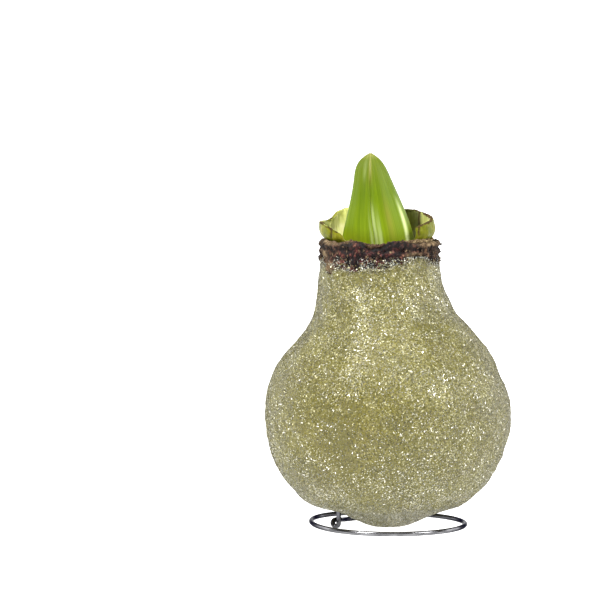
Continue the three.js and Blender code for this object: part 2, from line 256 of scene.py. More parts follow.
def show(name, mesh, material=None):
    """Puts a mesh in the scene as an object."""
    obj = bpy.data.objects.new(name, mesh)
    scene.collection.objects.link(obj)
    if material:
        mesh.materials.clear()
        mesh.materials.append(material)
    return obj


def places(mesh):
    """The places of a mesh's vertices as an array of rows."""
    flat = np.empty(len(mesh.vertices) * 3)
    mesh.vertices.foreach_get("co", flat)
    return flat.reshape(-1, 3)


def put(mesh, points):
    """Moves a mesh's vertices to these places."""
    mesh.vertices.foreach_set("co", np.ascontiguousarray(points, dtype=np.float32).ravel())
    mesh.update()


def normals(mesh):
    """The directions that a mesh's vertices face."""
    flat = np.empty(len(mesh.vertices) * 3, dtype=np.float32)
    mesh.vertex_normals.foreach_get("vector", flat)
    return flat.reshape(-1, 3).astype(float)


def shading(mesh, smooth):
    """Shades a mesh's faces smooth or flat."""
    mesh.polygons.foreach_set("use_smooth", [smooth] * len(mesh.polygons))


def welded(node, name):
    """A copy of a measured solid with its triangles joined up, and made quads where they allow it."""
    mesh = frame["nodes"][node].data.copy()
    mesh.name = name
    mesh.materials.clear()
    work = bmesh.new()
    work.from_mesh(mesh)
    bmesh.ops.remove_doubles(work, verts=work.verts, dist=0.001 * MM)
    limit = math.radians(40)
    bmesh.ops.join_triangles(
        work, faces=work.faces, angle_face_threshold=limit, angle_shape_threshold=limit
    )
    work.to_mesh(mesh)
    work.free()
    return mesh


def settle(obj):
    """What an object's modifiers make of it, as a plain mesh in a new object of the same name."""
    graph = bpy.context.evaluated_depsgraph_get()
    mesh = bpy.data.meshes.new_from_object(
        obj.evaluated_get(graph), preserve_all_data_layers=True, depsgraph=graph
    )
    name = obj.name
    bpy.data.batch_remove([obj, obj.data])
    mesh.name = name
    return show(name, mesh)


def subdivided(obj, levels):
    """Smooths a piece by subdivision and keeps the result."""
    modifier = obj.modifiers.new("smooth", "SUBSURF")
    modifier.levels = modifier.render_levels = levels
    obj = settle(obj)
    shading(obj.data, True)
    return obj


def keep(obj, slot, *nodes):
    """Fixes a finished piece to the part in place of these measured solids; the slot is not used."""
    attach(obj, "root")
    if nodes:
        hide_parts(*nodes)
    triangles = sum(len(face.vertices) - 2 for face in obj.data.polygons)
    print(f"{obj.name}: {triangles} triangles")


# %% A loft of closed rings


def loft(name, rings, material, close=False):
    """Joins closed rings of points, in millimetres, into a closed mesh.

    It has a cap at either end, or closes on itself. The UV map "surface" runs once round each ring in U
    and from the first ring to the last in V.
    """
    rings = np.asarray(rings, dtype=float)
    rows, around, _ = rings.shape
    bands = rows if close else rows - 1
    row, i = np.meshgrid(np.arange(bands), np.arange(around), indexing="ij")
    low, high = row * around, (row + 1) % rows * around
    quads = np.stack([low + i, low + (i + 1) % around, high + (i + 1) % around, high + i], axis=-1)
    u = np.stack([i, i + 1, i + 1, i], axis=-1) / around
    v = np.stack([row, row, row + 1, row + 1], axis=-1) / bands
    points, faces = rings.reshape(-1, 3), quads.reshape(-1, 4).tolist()
    shares = np.stack([u, v], axis=-1).reshape(-1, 2).tolist()
    if not close:
        points = np.concatenate([points, [rings[0].mean(axis=0), rings[-1].mean(axis=0)]])
        first, last = rows * around, rows * around + 1
        top = (rows - 1) * around
        for i in range(around):
            j = (i + 1) % around
            faces += [(j, i, first), (top + i, top + j, last)]
            shares += [((i + 1) / around, 0), (i / around, 0), ((i + 0.5) / around, 0)]
            shares += [(i / around, 1), ((i + 1) / around, 1), ((i + 0.5) / around, 1)]
    mesh = bpy.data.meshes.new(name)
    mesh.from_pydata((points * MM).tolist(), [], faces)
    mesh.uv_layers.new(name="surface").data.foreach_set("uv", np.ravel(shares))
    work = bmesh.new()
    work.from_mesh(mesh)
    bmesh.ops.recalc_face_normals(work, faces=work.faces)
    work.to_mesh(mesh)
    work.free()
    shading(mesh, True)
    return show(name, mesh, material)


def paint(mesh, name, values):
    """Writes one number for each vertex as a named attribute, for a material or a tree to read."""
    layer = mesh.attributes.get(name) or mesh.attributes.new(name, "FLOAT", "POINT")
    layer.data.foreach_set("value", np.asarray(values, dtype=np.float32))


# %% Helpers for Geometry Nodes


def geometry_tree(name, inputs):
    """A node tree that takes a geometry and the named inputs, and gives a geometry."""
    tree = bpy.data.node_groups.new(name, "GeometryNodeTree")
    tree.interface.new_socket("Geometry", in_out="INPUT", socket_type="NodeSocketGeometry")
    tree.interface.new_socket("Geometry", in_out="OUTPUT", socket_type="NodeSocketGeometry")
    for label, kind in inputs.items():
        tree.interface.new_socket(label, in_out="INPUT", socket_type="NodeSocket" + kind)
    return tree, add(tree, "NodeGroupInput").outputs


def run_tree(obj, tree, values):
    """Runs a tree on an object with these inputs, and keeps what it makes as a plain mesh."""
    modifier = obj.modifiers.new(tree.name, "NODES")
    modifier.node_group = tree
    for item in tree.interface.items_tree:
        if item.in_out == "INPUT" and item.name in values:
            modifier[item.identifier] = values[item.name]
    return settle(obj)


# %% Helpers for soft edges and noise


def smoothstep(value, low, high):
    """From 0 at low to 1 at high, starting and ending gently."""
    share = np.clip((value - low) / (high - low), 0, 1)
    return share * share * (3 - 2 * share)


def bell(distance, width):
    """1 at no distance, falling off over the width on either side."""
    return np.exp(-((distance / width) ** 2))


def turn_to(degrees, middle):
    """How far an angle lies from the middle one, from -180 to 180."""
    return (degrees - middle + 180) % 360 - 180


def clumps(points, size, seed=0, octaves=3):
    """Smooth noise from about -1 to 1 at these places, in millimetres, with clumps of this size."""
    offset = Vector((seed * 17.3, seed * 5.1, seed * 9.7))
    return np.array([noise.fractal(Vector(point) / size + offset, 1.0, 2.0, octaves) for point in points])

# %% [markdown]
# ## The wire stand
#
# The stand is one length of bright drawn steel wire. It is bent into a ring, turned back inside the
# ring at the rear, rolled once into a small eye, and its end goes straight up into the bulb. A curve
# through the middle of the wire with a round section is how such a thing is made, so that is how it is
# drawn: the path follows the same bends as the measured solid, and a small tree of nodes gives it its
# thickness.

# %% The path of the wire
# In mm and degrees. The ring is sprung: on one side it stands a little off the surface.
WIRE = 1.7
RING_RADIUS = 27.7
RING_MIDDLE = (0, -1.3)
RING_START = 64
RING_END = -270
RING_STEPS = 54
SPRUNG = 1.05
SPRUNG_AT = 160
SPRUNG_WIDTH = 62
TURN_RADIUS = 5
EYE = (-18.9, -6.2, 1.9)
EYE_RADIUS = 1.05
EYE_DEPTH = 2.1
PRONG_TOP = 32


def ring_height(degrees):
    """The height of the middle of the ring's wire."""
    return WIRE / 2 + SPRUNG * bell(turn_to(degrees, SPRUNG_AT), SPRUNG_WIDTH)


def circle_point(middle, radius, degrees):
    """A point on a circle round a middle."""
    angle = math.radians(degrees)
    return middle[0] + radius * math.cos(angle), middle[1] + radius * math.sin(angle)


wire_path = []
for step in range(RING_STEPS):
    degrees = RING_START + (RING_END - RING_START) * step / RING_STEPS
    wire_path.append((*circle_point(RING_MIDDLE, RING_RADIUS, degrees), ring_height(degrees)))
back = ring_height(RING_END)
turn_middle = (RING_MIDDLE[0], RING_MIDDLE[1] + RING_RADIUS - TURN_RADIUS)
wire_path += [(*circle_point(turn_middle, TURN_RADIUS, a), back) for a in range(90, -91, -20)]
wire_path += [(-6, 15.4, back), (-10.5, 12.2, back), (-13.4, 8, 1.4)]
wire_path += [(-15.6, 3.2, 1.8), (-17, -1.6, 2.4), (-17.9, -4.8, 2.9)]
for degrees in range(100, 341, 30):
    x, z = circle_point((EYE[0], EYE[2]), EYE_RADIUS, degrees)
    wire_path.append((x, EYE[1] - EYE_DEPTH * (degrees - 90) / 270, z))
prong = (EYE[0] + EYE_RADIUS, EYE[1] - EYE_DEPTH)
wire_path += [(*prong, height) for height in (2.3, 4, 8, 16, 24, PRONG_TOP)]
print("wire points:", len(wire_path))

# %% The wire as a Geometry Nodes tree
tree, given = geometry_tree("drawn wire", {"Radius": "Float", "Sides": "Int", "Material": "Material"})
section = add(
    tree, "GeometryNodeCurvePrimitiveCircle", {"Resolution": given["Sides"], "Radius": given["Radius"]}
)
tube = add(
    tree,
    "GeometryNodeCurveToMesh",
    {"Curve": given["Geometry"], "Profile Curve": section, "Fill Caps": True},
)
real = add(tree, "GeometryNodeRealizeInstances", {"Geometry": tube})
coated = add(tree, "GeometryNodeSetMaterial", {"Geometry": real, "Material": given["Material"]})
add(tree, "NodeGroupOutput", {"Geometry": coated})
wire_tree = tree
print("wire tree nodes:", len(tree.nodes))

# %% [markdown]
# ### Drawn steel
#
# Wire is pulled through a die, which leaves it bright with very fine lines along its length. Steel has
# little colour of its own: it shows the room. It is fully metallic and its roughness is low, a little
# higher where fingers have dulled it. Its colour is painted darker grey at the back and sides and paler in
# front: painted reflection.

# %% Drawn steel wire
# Bright low-carbon steel, drawn: mirror-like with faint dull patches.
# The paler front, painted reflection, lies between these places in Y.
LIT_FRONT_FROM, LIT_FRONT_TO = -28, -12
steel, tree, shader = new_material("bright drawn steel")
space = add(tree, "ShaderNodeTexCoord").outputs["Object"]
dulling = add(tree, "ShaderNodeTexNoise", {"Vector": space, "Scale": 1 / (5 * MM), "Detail": 4})
dull = add(
    tree,
    "ShaderNodeMapRange",
    {"Value": dulling, "From Min": 0.35, "From Max": 0.7, "To Min": 0.12, "To Max": 0.3},
)
# Painted reflection: dark grey towards the back and sides, paler grey in front.
shaded_back_tint = add(tree, "ShaderNodeValToRGB", {"Fac": dulling}, [(0.3, "#5a5a5d"), (0.7, "#3a3a3c")])
lit_front_tint = add(tree, "ShaderNodeValToRGB", {"Fac": dulling}, [(0.3, "#828284"), (0.7, "#58585a")])
back_to_front = add(tree, "ShaderNodeSeparateXYZ", {"Vector": space}).outputs["Y"]
lit_front_share = add(
    tree,
    "ShaderNodeMapRange",
    {
        "Value": back_to_front,
        "From Min": LIT_FRONT_FROM * MM,
        "From Max": LIT_FRONT_TO * MM,
        "To Min": 1,
        "To Max": 0,
    },
)
wire_tint = add(tree, "ShaderNodeMix", {0: lit_front_share, 6: shaded_back_tint, 7: lit_front_tint}, data_type="RGBA")
scuffs = add(tree, "ShaderNodeTexNoise", {"Vector": space, "Scale": 1 / (0.25 * MM), "Detail": 2})
relief = add(tree, "ShaderNodeBump", {"Height": scuffs, "Strength": 0.06, "Distance": 0.05 * MM})
fill(
    tree,
    shader,
    {
        "Base Color": wire_tint,
        "Roughness": dull,
        "Normal": relief,
        "Metallic": 1,
        "Specular Tint": linear("#8c8c90"),
    },
)
print("steel material nodes:", len(tree.nodes))

# %% Bending the wire
curve = bpy.data.curves.new("wire path", "CURVE")
curve.dimensions = "3D"
line = curve.splines.new("BEZIER")
line.bezier_points.add(len(wire_path) - 1)
for point, place in zip(line.bezier_points, wire_path):
    point.co = Vector(place) * MM
    point.handle_left_type = point.handle_right_type = "AUTO"
line.resolution_u = 4
wire = run_tree(
    show("steel_wire", curve), wire_tree, {"Radius": WIRE / 2 * MM, "Sides": 20, "Material": steel}
)
shading(wire.data, True)
keep(wire, "wire", "wire_stand")

# %% [markdown]
# ## The wax coat
#
# The bulb is dipped in melted wax two or three times, which leaves a skin of wax 1 to 2 mm thick that
# follows every swelling of the scales below it. The measured solid already has those swellings, but its
# facets are coarse, so a welded copy of it is subdivided. Subdivision draws a round shape inwards, so
# each point is then sent back out to the measured surface, less the height of the glass grains, because
# the grains, and not the wax, make the outline that is seen.

# %% The wax under the grains
# In mm: how far the grains stand off the wax, the coat's middle, the clear space round the prong, the
# middle of the neck, the radius of the wax at its lip, the heights between which it thins to it, and how
# high the lowest wax is.
GRAIN_HEIGHT = 0.14
COAT_CENTRE = np.array([-0.4, 0, 40])
PRONG_HOLE = 2.2
NECK = np.array([-3.2, 0])
WAX_LIP = 20.5
THINS_FROM, THINS_TO = 89, 94.5
LOWEST_WAX = 0.2
# A point lies on the outside of the coat if it faces away from the middle at least this much.
OUTSIDE = 0.3


def outward(points, centre):
    """The direction from a centre to each point."""
    away = points - centre
    return away / np.linalg.norm(away, axis=1, keepdims=True)


def neck_outward(points):
    """The level direction from the middle of the neck to each point."""
    return outward(points * (1, 1, 0), np.array([*NECK, 0]))


def neck_angle(points):
    """The angle of each point round the neck, in degrees: -90 in front, 0 on the right."""
    return np.degrees(np.arctan2(points[:, 1] - NECK[1], points[:, 0] - NECK[0]))


def facing_out(mesh):
    """How much each vertex of the coat faces away from its middle, from -1 to 1."""
    return (normals(mesh) * outward(places(mesh) / MM, COAT_CENTRE)).sum(axis=1)


def clear_of_prong(points):
    """Whether each point lies outside the hole that the prong goes up through."""
    from_prong = np.hypot(points[:, 0] - prong[0], points[:, 1] - prong[1])
    return (from_prong > PRONG_HOLE) | (points[:, 2] > PRONG_TOP)


def top_of(node, reach=6.0):
    """The height of a measured solid's upper edge as a function of the angle round the neck."""
    points = places(frame["nodes"][node].data) / MM
    angles = neck_angle(points)
    at = np.arange(-180, 180, 3.0)
    tops = np.array(
        [points[np.abs(turn_to(angles, middle)) < reach / 2, 2].max(initial=-1) for middle in at]
    )
    return lambda degrees: np.interp(degrees, at, tops, period=360)


wax_top = top_of("wax_coat")
coat_mesh = welded("wax_coat", "wax_coat_base")
here = places(coat_mesh) / MM
outer = (facing_out(coat_mesh) > OUTSIDE) & clear_of_prong(here)

around_neck = here[:, :2] - NECK
from_neck = np.linalg.norm(around_neck, axis=1)
thinned = from_neck + ~outer * (WAX_LIP - from_neck) * smoothstep(here[:, 2], THINS_FROM, THINS_TO)
here[:, :2] = NECK + around_neck * (np.maximum(thinned, from_neck) / from_neck)[:, None]
put(coat_mesh, here * MM)
wax = subdivided(show("wax_coat_base", coat_mesh), 1)

measured_coat = frame["nodes"]["wax_coat"].data
coat_tree = BVHTree.FromPolygons(
    places(measured_coat).tolist(), [tuple(face.vertices) for face in measured_coat.polygons]
)
here = places(wax.data) / MM
outer = facing_out(wax.data) > OUTSIDE
shrunk = np.array([tuple(coat_tree.find_nearest(Vector(point) * MM)[0]) for point in here]) / MM - here
drawn_in = (shrunk * normals(wax.data)).sum(axis=1)
swell = 0.14 * clumps(here, 4.5, seed=1) + 0.08 * clumps(here, 1.8, seed=2)
rise = np.clip(drawn_in, -1, 1) - GRAIN_HEIGHT + swell
here[outer] += (rise[:, None] * normals(wax.data))[outer]
print("subdivision had drawn the coat in by", round(float(drawn_in[outer].mean()), 2), "mm")
here[:, 2] = np.maximum(here[:, 2], LOWEST_WAX)
put(wax.data, here * MM)
print("wax vertices:", len(here), "outer:", int(outer.sum()))

# %% Glitter wax
# Paraffin wax tinted olive, with the finest glass dust pressed into it: a satin gloss, and cells that
# each face their own way, as small as the dust.
DUST = 0.45
glitter_wax, tree, shader = new_material("olive wax with glass dust")
space = add(tree, "ShaderNodeTexCoord").outputs["Object"]
patches = add(tree, "ShaderNodeTexNoise", {"Vector": space, "Scale": 1 / (9 * MM), "Detail": 4})
cells = add(tree, "ShaderNodeTexVoronoi", {"Vector": space, "Scale": 1 / (DUST * MM)})
cell_value = add(tree, "ShaderNodeSeparateColor", {"Color": cells.outputs["Color"]})
wax_tint = add(
    tree, "ShaderNodeValToRGB", {"Fac": patches}, [(0.3, "#4f4a12"), (0.5, "#5d5826"), (0.7, "#605e3c")]
)
dust_tint = add(
    tree,
    "ShaderNodeValToRGB",
    {"Fac": cell_value.outputs["Red"]},
    [(0, "#2a280e"), (0.35, "#5b571f"), (0.8, "#827b42"), (1, "#ccc8a0")],
)
both = add(tree, "ShaderNodeMix", {0: 0.6, 6: wax_tint, 7: dust_tint}, data_type="RGBA")
# The attribute olive darkens the wax in a patch: painted shade.
olive = add(tree, "ShaderNodeAttribute", attribute_name="olive").outputs["Fac"]
shaded_patch_tint = add(tree, "ShaderNodeMix", {0: olive, 6: both, 7: linear("#625912")}, data_type="RGBA")
thin = add(tree, "ShaderNodeAttribute", attribute_name="thin").outputs["Fac"]
skin_through = add(tree, "ShaderNodeMix", {0: thin, 6: shaded_patch_tint, 7: linear("#1c120c")}, data_type="RGBA")
normal = add(tree, "ShaderNodeNewGeometry").outputs["Normal"]
any_way = {0: cells.outputs["Color"], 1: (0.5, 0.5, 0.5)}
tilt = add(tree, "ShaderNodeVectorMath", any_way, operation="SUBTRACT")
tilted = {0: tilt, 1: (1.1, 1.1, 1.1), 2: normal}
leaning = add(tree, "ShaderNodeVectorMath", tilted, operation="MULTIPLY_ADD")
facet = add(tree, "ShaderNodeVectorMath", {0: leaning}, operation="NORMALIZE")
fill(
    tree,
    shader,
    {"Base Color": skin_through, "Normal": facet, "Roughness": 0.32, "Metallic": 0.15, "IOR": 1.45},
)
wax.data.materials.append(glitter_wax)
print("wax material nodes:", len(tree.nodes))

# %% Painted shade on the wax, and where it is thinner
# On the belly, left of the middle, the coat is painted darker and more olive in a patch: painted shade.
SHADED_PATCH = np.array([-16, -38, 40])
SHADED_PATCH_REACH = 16


def shaded_patch_share(points):
    """How much each point lies in the darker olive patch of painted shade."""
    return np.exp(-((points - SHADED_PATCH) ** 2).sum(axis=1) / (2 * SHADED_PATCH_REACH**2))


here = places(wax.data) / MM
# The olive attribute here is painted shade: darker and more olive in the patch.
paint(wax.data, "olive", 0.5 * shaded_patch_share(here))
below_lip = wax_top(neck_angle(here)) - here[:, 2] + 0.9 * clumps(here, 2.6, seed=4)
paint(wax.data, "thin", 0.85 * smoothstep(below_lip, 2.4, 0.4))
keep(wax, "glitter_wax", "wax_coat")

# %% [markdown]
# ## The dry outer skin
#
# A bulb wears a tunic: the dried outer scales of past years, papery, brittle and brown. Under the wax it
# is hidden, and at the neck it comes out as a crumpled torn collar, dark as burnt paper where it is damp
# and greyer where it is dry. It could be a ring with a bump pattern, but its torn edge and its lumps
# show in the outline, so the collar is drawn as real folds: a section that starts under the wax, swells
# over its edge and is torn off at the top. It is carried round the neck, and then crumpled by noise of
# three sizes and by wrinkles that run round it.

# %% Measuring the collar
NECK_STEPS = 430
# On the left a tongue of fresh skin hangs over the edge of the wax: angle, half its width, drop, rise.
TONGUE_AT, TONGUE_HALF, TONGUE_DROP, TONGUE_RISE = -148, 8, 2.6, 0.8
# There the torn edge also stands higher: angle, half the width, and by how much.
TALL_AT, TALL_HALF, TALL_BY = -158, 22, 0.8
# The side of the neck that faces front, and half the width of the damp stain there, both in degrees.
FRONT = -97
DAMP_HALF = 50
# The height at which the skin ends under the wax.
TUCKED_TO = 88.6

collar_top = top_of("outer_tunic")
for side, degrees in {"front": -90, "back": 90}.items():
    print("collar at the", side, "up to", round(float(collar_top(degrees)), 1), "mm")

# %% The crumpled collar
# Heights are shares of the way from the wax's edge to the torn top; below 0 the skin is under the wax.
COLLAR_OUTSIDE = [
    (-1.0, 18.9), (-0.7, 19.4), (-0.4, 20.2), (-0.2, 20.8), (-0.06, 21.15), (0.02, 21.25),
    (0.1, 21.3), (0.2, 21.3), (0.3, 21.3), (0.4, 21.25), (0.5, 21.2), (0.6, 21.2), (0.7, 21.15),
    (0.78, 21.2), (0.86, 21.3), (0.93, 21.1), (0.98, 20.7),
]
COLLAR_INSIDE = [
    (1.0, 20.2), (0.97, 19.9), (0.85, 19.75), (0.6, 19.6), (0.3, 19.4), (0, 18.9), (-1.0, 18.4),
]
COLLAR_HEIGHT = 8


def finer(rows, step):
    """The same outline with points no further apart than a step in mm, on a collar of average height."""
    made = [rows[0]]
    for (a, p), (b, q) in zip(rows, rows[1:]):
        count = max(1, math.ceil(math.hypot((b - a) * COLLAR_HEIGHT, q - p) / step))
        made += [(a + (b - a) * k / count, p + (q - p) * k / count) for k in range(1, count + 1)]
    return made


hidden, shown = finer(COLLAR_OUTSIDE[:4], 0.9), finer(COLLAR_OUTSIDE[3:] + COLLAR_INSIDE[:3], 0.3)
sides = hidden[:-1] + shown + finer(COLLAR_INSIDE[2:], 0.7)[1:]
collar_rings = []
for step in range(NECK_STEPS):
    degrees = 360 * step / NECK_STEPS - 180
    tongue = float(bell(turn_to(degrees, TONGUE_AT), TONGUE_HALF))
    low = float(wax_top(degrees)) - 0.4 - TONGUE_DROP * tongue
    tear = noise.noise(Vector((degrees * 0.5, 3, 1))) + 0.6 * noise.noise(Vector((degrees * 1.9, 8, 1)))
    high = float(collar_top(degrees)) - 0.25 + 0.45 * tear
    high += TALL_BY * bell(turn_to(degrees, TALL_AT), TALL_HALF)
    ring = []
    for share, radius in sides:
        reach = high - low if share > 0 else low - TUCKED_TO
        lifted = radius + TONGUE_RISE * tongue * bell(share - 0.16, 0.3)
        ring.append((*circle_point(NECK, lifted, degrees), low + share * reach))
    collar_rings.append(ring)
collar_points = np.array(collar_rings)
print("collar points:", collar_points.shape[:2])

# %% Crumpling it
rows, around, _ = collar_points.shape
flat = collar_points.reshape(-1, 3)
height_share = np.tile([share for share, _ in sides], rows)
free = smoothstep(height_share, -0.1, 0.15)
away = neck_outward(flat)
angle = neck_angle(flat)
tall = flat * (1, 1, 0.35)
lumps = clumps(tall, 4.2, seed=21)
crumbs = clumps(flat, 1.6, seed=22)
grit = clumps(flat, 0.7, seed=23)
damp = bell(turn_to(angle, FRONT), DAMP_HALF)
at_side = smoothstep(np.abs(turn_to(angle, -90)), 48, 72)
wrinkles = np.sin(flat[:, 2] * 2.3 + 2.2 * clumps(flat, 6.0, seed=27)) * (0.6 + 0.4 * at_side)
crumple = 0.65 * lumps + (0.34 + 0.22 * damp) * crumbs + (0.12 + 0.1 * damp) * grit + 0.4 * wrinkles
# A fold in front, where the skin is pinched in below its torn edge, and more widely so further up.
FOLD_FROM, FOLD_DEPTH = 100, 1.2
fold_half = 4 + 3.5 * np.maximum(flat[:, 2] - FOLD_FROM, 0)
pinch = bell(turn_to(angle, FRONT), fold_half) * smoothstep(flat[:, 2], FOLD_FROM, FOLD_FROM + 2)
crumple -= FOLD_DEPTH * pinch
is_outer = np.tile(np.arange(around) < len(hidden) + len(finer(COLLAR_OUTSIDE[3:], 0.3)), rows)
flat = flat + away * (crumple * free * np.where(is_outer, 0.85, 0.5))[:, None]
flat[:, 2] += free * 0.3 * clumps(flat, 2.4, seed=25)
# Painted shade: the bottoms of the crumples are marked for darkening.
shade_and_dark_marks = smoothstep(-crumple, -0.15, 0.6)
print("crumple, mm:", round(float(crumple.min()), 1), "to", round(float(crumple.max()), 1))

# %% [markdown]
# ### Dry bulb skin
#
# Old bulb skin is layers of dead cells with fine upright fibres. It ranges from tan where it is fresh
# and thin, through grey-brown, to a nearly black burgundy where damp has stained it, and it is dull
# except for a little shine where it is wet with wax. A slow noise chooses between those tones, a
# stretched one draws the fibres, and attributes say where the skin is damp, where it is fresh, and where
# it is darkened: painted shade in its creases, and dark marks.

# %% Dry skin
# Dead papery plant skin, torn by hand: matt, fibrous, stained by damp on one side. In mm: the size of
# its stains, and the distance between its fibres.
STAIN = 1.8
FIBRE = 0.35


def dry_skin(name, tones, damp_tones, wet_roughness):
    """Papery bulb skin.

    The attribute "damp" blends from the dry tones to the stained ones, "fresh" from there to tan, and a
    third darkens it to near black: painted shade at the bottoms of the creases, and dark marks.
    """
    material, tree, shader = new_material(name)
    space = add(tree, "ShaderNodeTexCoord").outputs["Object"]
    stains = {"Vector": space, "Scale": 1 / (STAIN * MM), "Detail": 6, "Roughness": 0.66}
    slow = add(tree, "ShaderNodeTexNoise", stains)
    upright = add(tree, "ShaderNodeMapping", {"Vector": space, "Scale": (1, 1, 0.3)})
    fibres = add(tree, "ShaderNodeTexNoise", {"Vector": upright, "Scale": 1 / (FIBRE * MM), "Detail": 3})
    dry = add(tree, "ShaderNodeValToRGB", {"Fac": slow}, tones)
    stained = add(tree, "ShaderNodeValToRGB", {"Fac": slow}, damp_tones)
    damp = add(tree, "ShaderNodeAttribute", attribute_name="damp").outputs["Fac"]
    tone = add(tree, "ShaderNodeMix", {0: damp, 6: dry, 7: stained}, data_type="RGBA")
    tan = add(
        tree, "ShaderNodeValToRGB", {"Fac": slow}, [(0.35, "#3a2b1c"), (0.5, "#6e5a40"), (0.66, "#a08c6c")]
    )
    fresh = add(tree, "ShaderNodeAttribute", attribute_name="fresh").outputs["Fac"]
    freshened = add(tree, "ShaderNodeMix", {0: fresh, 6: tone, 7: tan}, data_type="RGBA")
    # Painted shade in the creases, and dark marks, darken the skin to near black.
    shade_and_dark_marks = add(tree, "ShaderNodeAttribute", attribute_name="shade_and_dark_marks").outputs["Fac"]
    dirty = add(tree, "ShaderNodeMix", {0: shade_and_dark_marks, 6: freshened, 7: linear("#080504")}, data_type="RGBA")
    lines = add(tree, "ShaderNodeValToRGB", {"Fac": fibres}, [(0.3, "#8e8e8e"), (0.68, "#ffffff")])
    fibrous = {0: 0.75, 6: dirty, 7: lines}
    drawn = add(tree, "ShaderNodeMix", fibrous, data_type="RGBA", blend_type="MULTIPLY")
    height = add(tree, "ShaderNodeMath", {0: fibres, 1: 0.6, 2: slow}, operation="MULTIPLY_ADD")
    relief = add(tree, "ShaderNodeBump", {"Height": height, "Strength": 0.8, "Distance": 0.3 * MM})
    wet = {"Value": damp, "From Min": 0.2, "From Max": 1.0, "To Min": 0.85, "To Max": wet_roughness}
    roughness = add(tree, "ShaderNodeMapRange", wet)
    fill(
        tree,
        shader,
        {
            "Base Color": drawn,
            "Normal": relief,
            "Roughness": roughness,
            "IOR": 1.45,
            "Specular IOR Level": 0.15,
        },
    )
    return material


# %% The skin of the collar
outer_skin = dry_skin(
    "dry outer bulb skin",
    [(0.36, "#0f0a06"), (0.48, "#291d14"), (0.58, "#483627"), (0.68, "#735c42")],
    [(0.38, "#080404"), (0.49, "#1d0d0d"), (0.57, "#421a18"), (0.66, "#7c4a40")],
    0.5,
)
collar = loft("outer_tunic_collar", flat.reshape(rows, around, 3), outer_skin, close=True)
paint(collar.data, "damp", np.clip(damp * 1.25 + 0.25 * clumps(flat, 3.0, seed=26), 0, 1))
# Marks on the skin: angle round the neck, height, half their width in degrees and half their height.
DRY_MARKS = [
    (-150, 103.4, 24, 1.2), (-112, 104.2, 7, 0.6), (-148, 94.3, 11, 1.9), (-28, 102.9, 22, 1.1),
    (-58, 98.4, 8, 0.9), (-160, 98.8, 9, 1.2), (40, 102.6, 25, 1.0), (120, 102.4, 30, 1.0),
]
DARK_MARKS = [
    (-160, 101.2, 8, 0.7), (-143, 100.2, 7, 0.9), (-52, 101.0, 7, 1.0), (-96, 101.6, 9, 0.7),
    (-125, 102.4, 6, 0.7), (-72, 96.8, 9, 0.7), (75, 100.5, 12, 0.8), (150, 100.8, 10, 0.8),
]


def marks_at(marks):
    """How much each point of the collar lies in one of the marks, whose edges are ragged."""
    ragged_angle = angle + 7 * clumps(flat, 2.0, seed=33)
    ragged_height = flat[:, 2] + 0.7 * clumps(flat, 2.0, seed=34)
    share = np.zeros(len(flat))
    for at, height, half_angle, half_height in marks:
        share += bell(turn_to(ragged_angle, at), half_angle) * bell(ragged_height - height, half_height)
    return np.clip(share, 0, 1)


dry_share = marks_at(DRY_MARKS)
# Painted shade in the crumples and in the pinched fold, with the dark marks, darkens the collar.
dark_share = np.clip(0.9 * shade_and_dark_marks + 0.7 * pinch + 0.85 * marks_at(DARK_MARKS), 0, 0.95)
paint(collar.data, "shade_and_dark_marks", dark_share * (1 - 0.6 * dry_share))
paint(collar.data, "fresh", dry_share)
keep(collar, "dry_skin", "outer_tunic")

# %% [markdown]
# ## The inner skins
#
# Inside the torn collar stand younger skins, thin and tan, of which the neck shows two or three edges
# one inside the other. Each is a wall round part of the neck: a thin closed section, carried along an
# arc. The same wall makes the rings of cut scales on the bulb's flat top, which are the next piece.

# %% A wall along an arc


def wall(name, arc, section_at, material):
    """A closed section, in radius and height, carried along an arc of angles round the neck."""
    rings = [
        [(*circle_point(NECK, radius, degrees), height) for radius, height in section_at(degrees)]
        for degrees in arc
    ]
    return loft(name, rings, material)


def thin_section(foot, head, bottom, top, thickness, steps):
    """A thin leaning wall's section: up its outside from foot to head radius, and down its inside."""
    outside = list(zip(np.linspace(foot, head, steps + 1), np.linspace(bottom, top, steps + 1)))
    inside = [(radius - thickness, height) for radius, height in reversed(outside)]
    inside[0] = (inside[0][0], inside[0][1] - thickness / 3)
    return outside + inside


def joined(name, objects):
    """Several meshes as one piece."""
    work = bmesh.new()
    for obj in objects:
        work.from_mesh(obj.data)
    mesh = bpy.data.meshes.new(name)
    work.to_mesh(mesh)
    work.free()
    mesh.materials.append(objects[0].data.materials[0])
    for obj in objects:
        bpy.data.objects.remove(obj)
    return show(name, mesh)


# %% The inner skins
# Dead skin of the youngest layers: pale tan, thin, barely stained.
inner_skin = dry_skin(
    "dry inner bulb skin",
    [(0.3, "#2c2117"), (0.45, "#5e4c35"), (0.58, "#83704f"), (0.72, "#a8946c")],
    [(0.3, "#150b09"), (0.5, "#301915"), (0.7, "#5c4032")],
    0.6,
)
INNER_REACH = (-131, 117)
INNER_STEP = 0.9
DAMP_INSIDE_AT, DAMP_INSIDE_HALF = -88, 26
# The skins are torn lower in front: angle, half the width, drop.
LOW_AT, LOW_HALF, LOW_BY = -96, 16, 1.3
# Radius at the foot and at the torn top, height of the top, and thickness of each layer.
INNER_LAYERS = [(17.9, 19.3, 103.7, 0.45), (17.2, 18.4, 104.1, 0.4), (16.9, 17.5, 103.2, 0.35)]
bulb_top = float((places(frame["nodes"]["bulb"].data)[:, 2] / MM).max())

